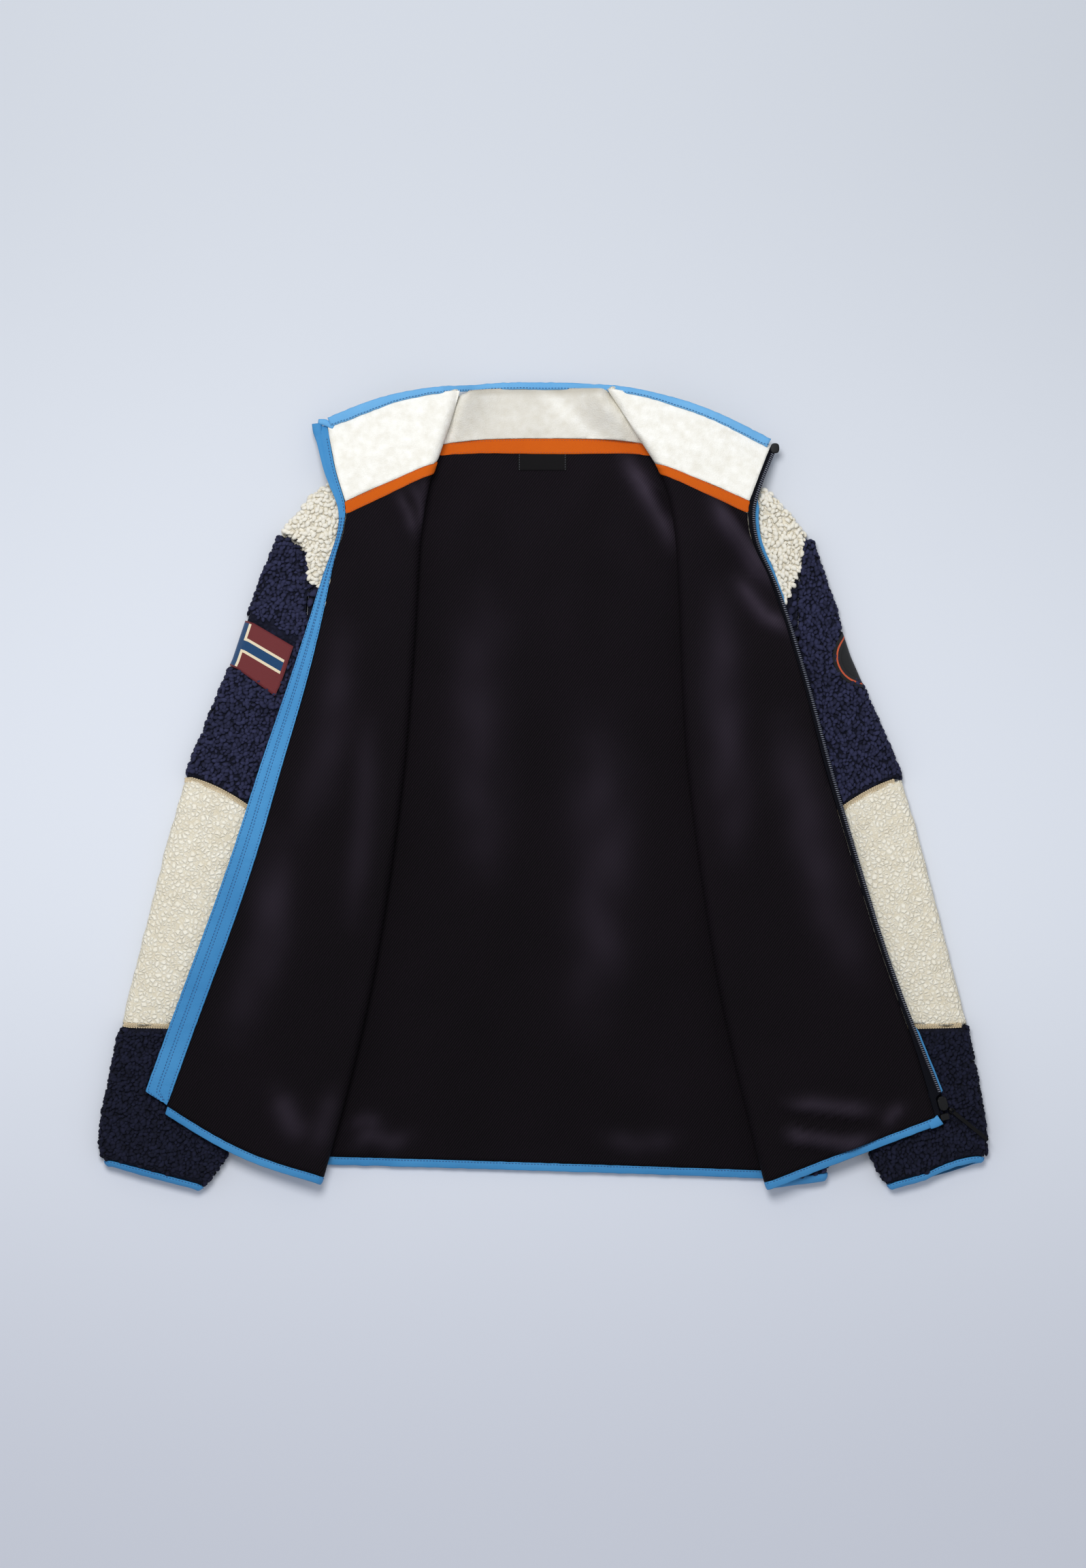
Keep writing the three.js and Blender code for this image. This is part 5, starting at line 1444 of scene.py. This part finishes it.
flag_finish = banded("flag_embroidery", [
    (linear(112, 42, 44), None),
    (linear(238, 222, 190), arms(BAR_CREAM, CROSS_CREAM)),
    (linear(20, 66, 108), arms(BAR, BAR)),
    (linear(104, 34, 38), satin_rim)])
LEFT_EDGE = ((-285.9, 178.8), (-303.9, 124.8), (-314.9, 100.8), (-343.9, 30.8))
flag_rows = [[(u, v, wrapped(LEFT_EDGE, (17.1 + u) * MM, (v - FLAG_ROUND + FLAG_OVER) * MM,
                             PATCH_LIFT, turn=-12))
              for v in np.linspace(0, FLAG_ROUND, 63)] for u in np.linspace(0, FLAG_LONG, 32)]
patch("flag_embroidered", "flag_patch", flag_rows, flag_finish)

# The disc's UV map is in millimetres from its middle. It is that far down the sleeve's edge, and
# that far round it.
DISC, DISC_DOWN, DISC_ROUND = 31, 57, 21.5


def beyond(radius):
    """The mask of what lies outside a circle."""
    def mask(step, u, v):
        square = step("ADD", step("MULTIPLY", u, u), step("MULTIPLY", v, v))
        return step("GREATER_THAN", square, radius * radius)
    return mask


disc_finish = banded("disc_twill", [
    (linear(24, 24, 26), None),
    (linear(15, 15, 17), beyond(22.5)),
    (linear(27, 27, 29), beyond(23.3)),
    (linear(196, 84, 50), beyond(26.2)),
    (linear(20, 20, 22), beyond(27.8))], roughness=0.7)
RIGHT_EDGE = ((283.1, 176.8), (299.1, 127.8), (309.1, 104.8), (344.1, 28.8))
disc_rows = []
for a in np.radians(np.linspace(2, 178, 45)):
    u, chord = -DISC * math.cos(a), DISC * math.sin(a)
    disc_rows.append([(u, v, wrapped(RIGHT_EDGE, (DISC_DOWN + u) * MM, (DISC_ROUND + v) * MM,
                                    PATCH_LIFT))
                      for v in np.linspace(-chord, chord, 41)])
patch("disc_embroidered", "round_patch", disc_rows, disc_finish)

# ---------------------------------------------------------------- flatlock seams of the sleeves
# The sleeve's colour blocks are joined flat, edge to edge, by a tan cover stitch: two rows, with
# short threads across the join between them.
tan_thread = thread("tan_thread", linear(214, 194, 158))


def over_sleeve(nodes, route, side=0.0):
    """Points on top of a sleeve along a seam, and on down round its outer edge.

    side is how far the line lies beside the seam."""
    surface = tree_of(nodes)
    route = bowed(np.column_stack((route, np.zeros(len(route)))))[:, :2]
    route = route[np.argsort(np.abs(route[:, 0]))]
    line = []
    for start, end in zip(route, route[1:]):
        way = (end - start) / np.linalg.norm(end - start)
        aside = np.array([way[1], -way[0]]) * side
        for t in np.linspace(0, 1, 4):
            x, y = start + (end - start) * t + aside
            hit = surface.ray_cast(Vector((x, y, 17 * MM)), DOWN)[0]
            if hit is not None and hit.z > 7.5 * MM:
                line.append((x, y, hit.z - 0.5 * MM))
    x, y, z = line[-1]
    line += [(x + way[0] * 0.5 * MM * k, y + way[1] * 0.5 * MM * k, z - 2 * MM * k) for k in (1, 2)]
    return line


ROW_GAP = 1.9 * MM  # from the join to the row of stitches on each side
for name, route in SEAMS.items():
    arm, place = name.split("_")
    parts = ("upper", "middle") if place == "elbow" else ("middle", "lower")
    there = [f"{arm}_sleeve_{part}" for part in parts]
    rows = [over_sleeve(there, route, side) for side in (-ROW_GAP, ROW_GAP)]
    sewn(name + "_seam_rows", rows, 2.4 * MM, (2.3 * MM, 1.1 * MM, 1.1 * MM), tan_thread)
    sewn(name + "_seam_threads", [over_sleeve(there, route)], 1.1 * MM,
         (4.4 * MM, 0.9 * MM, 0.9 * MM), tan_thread, turn=math.radians(74))
bpy.data.objects.remove(stitch)
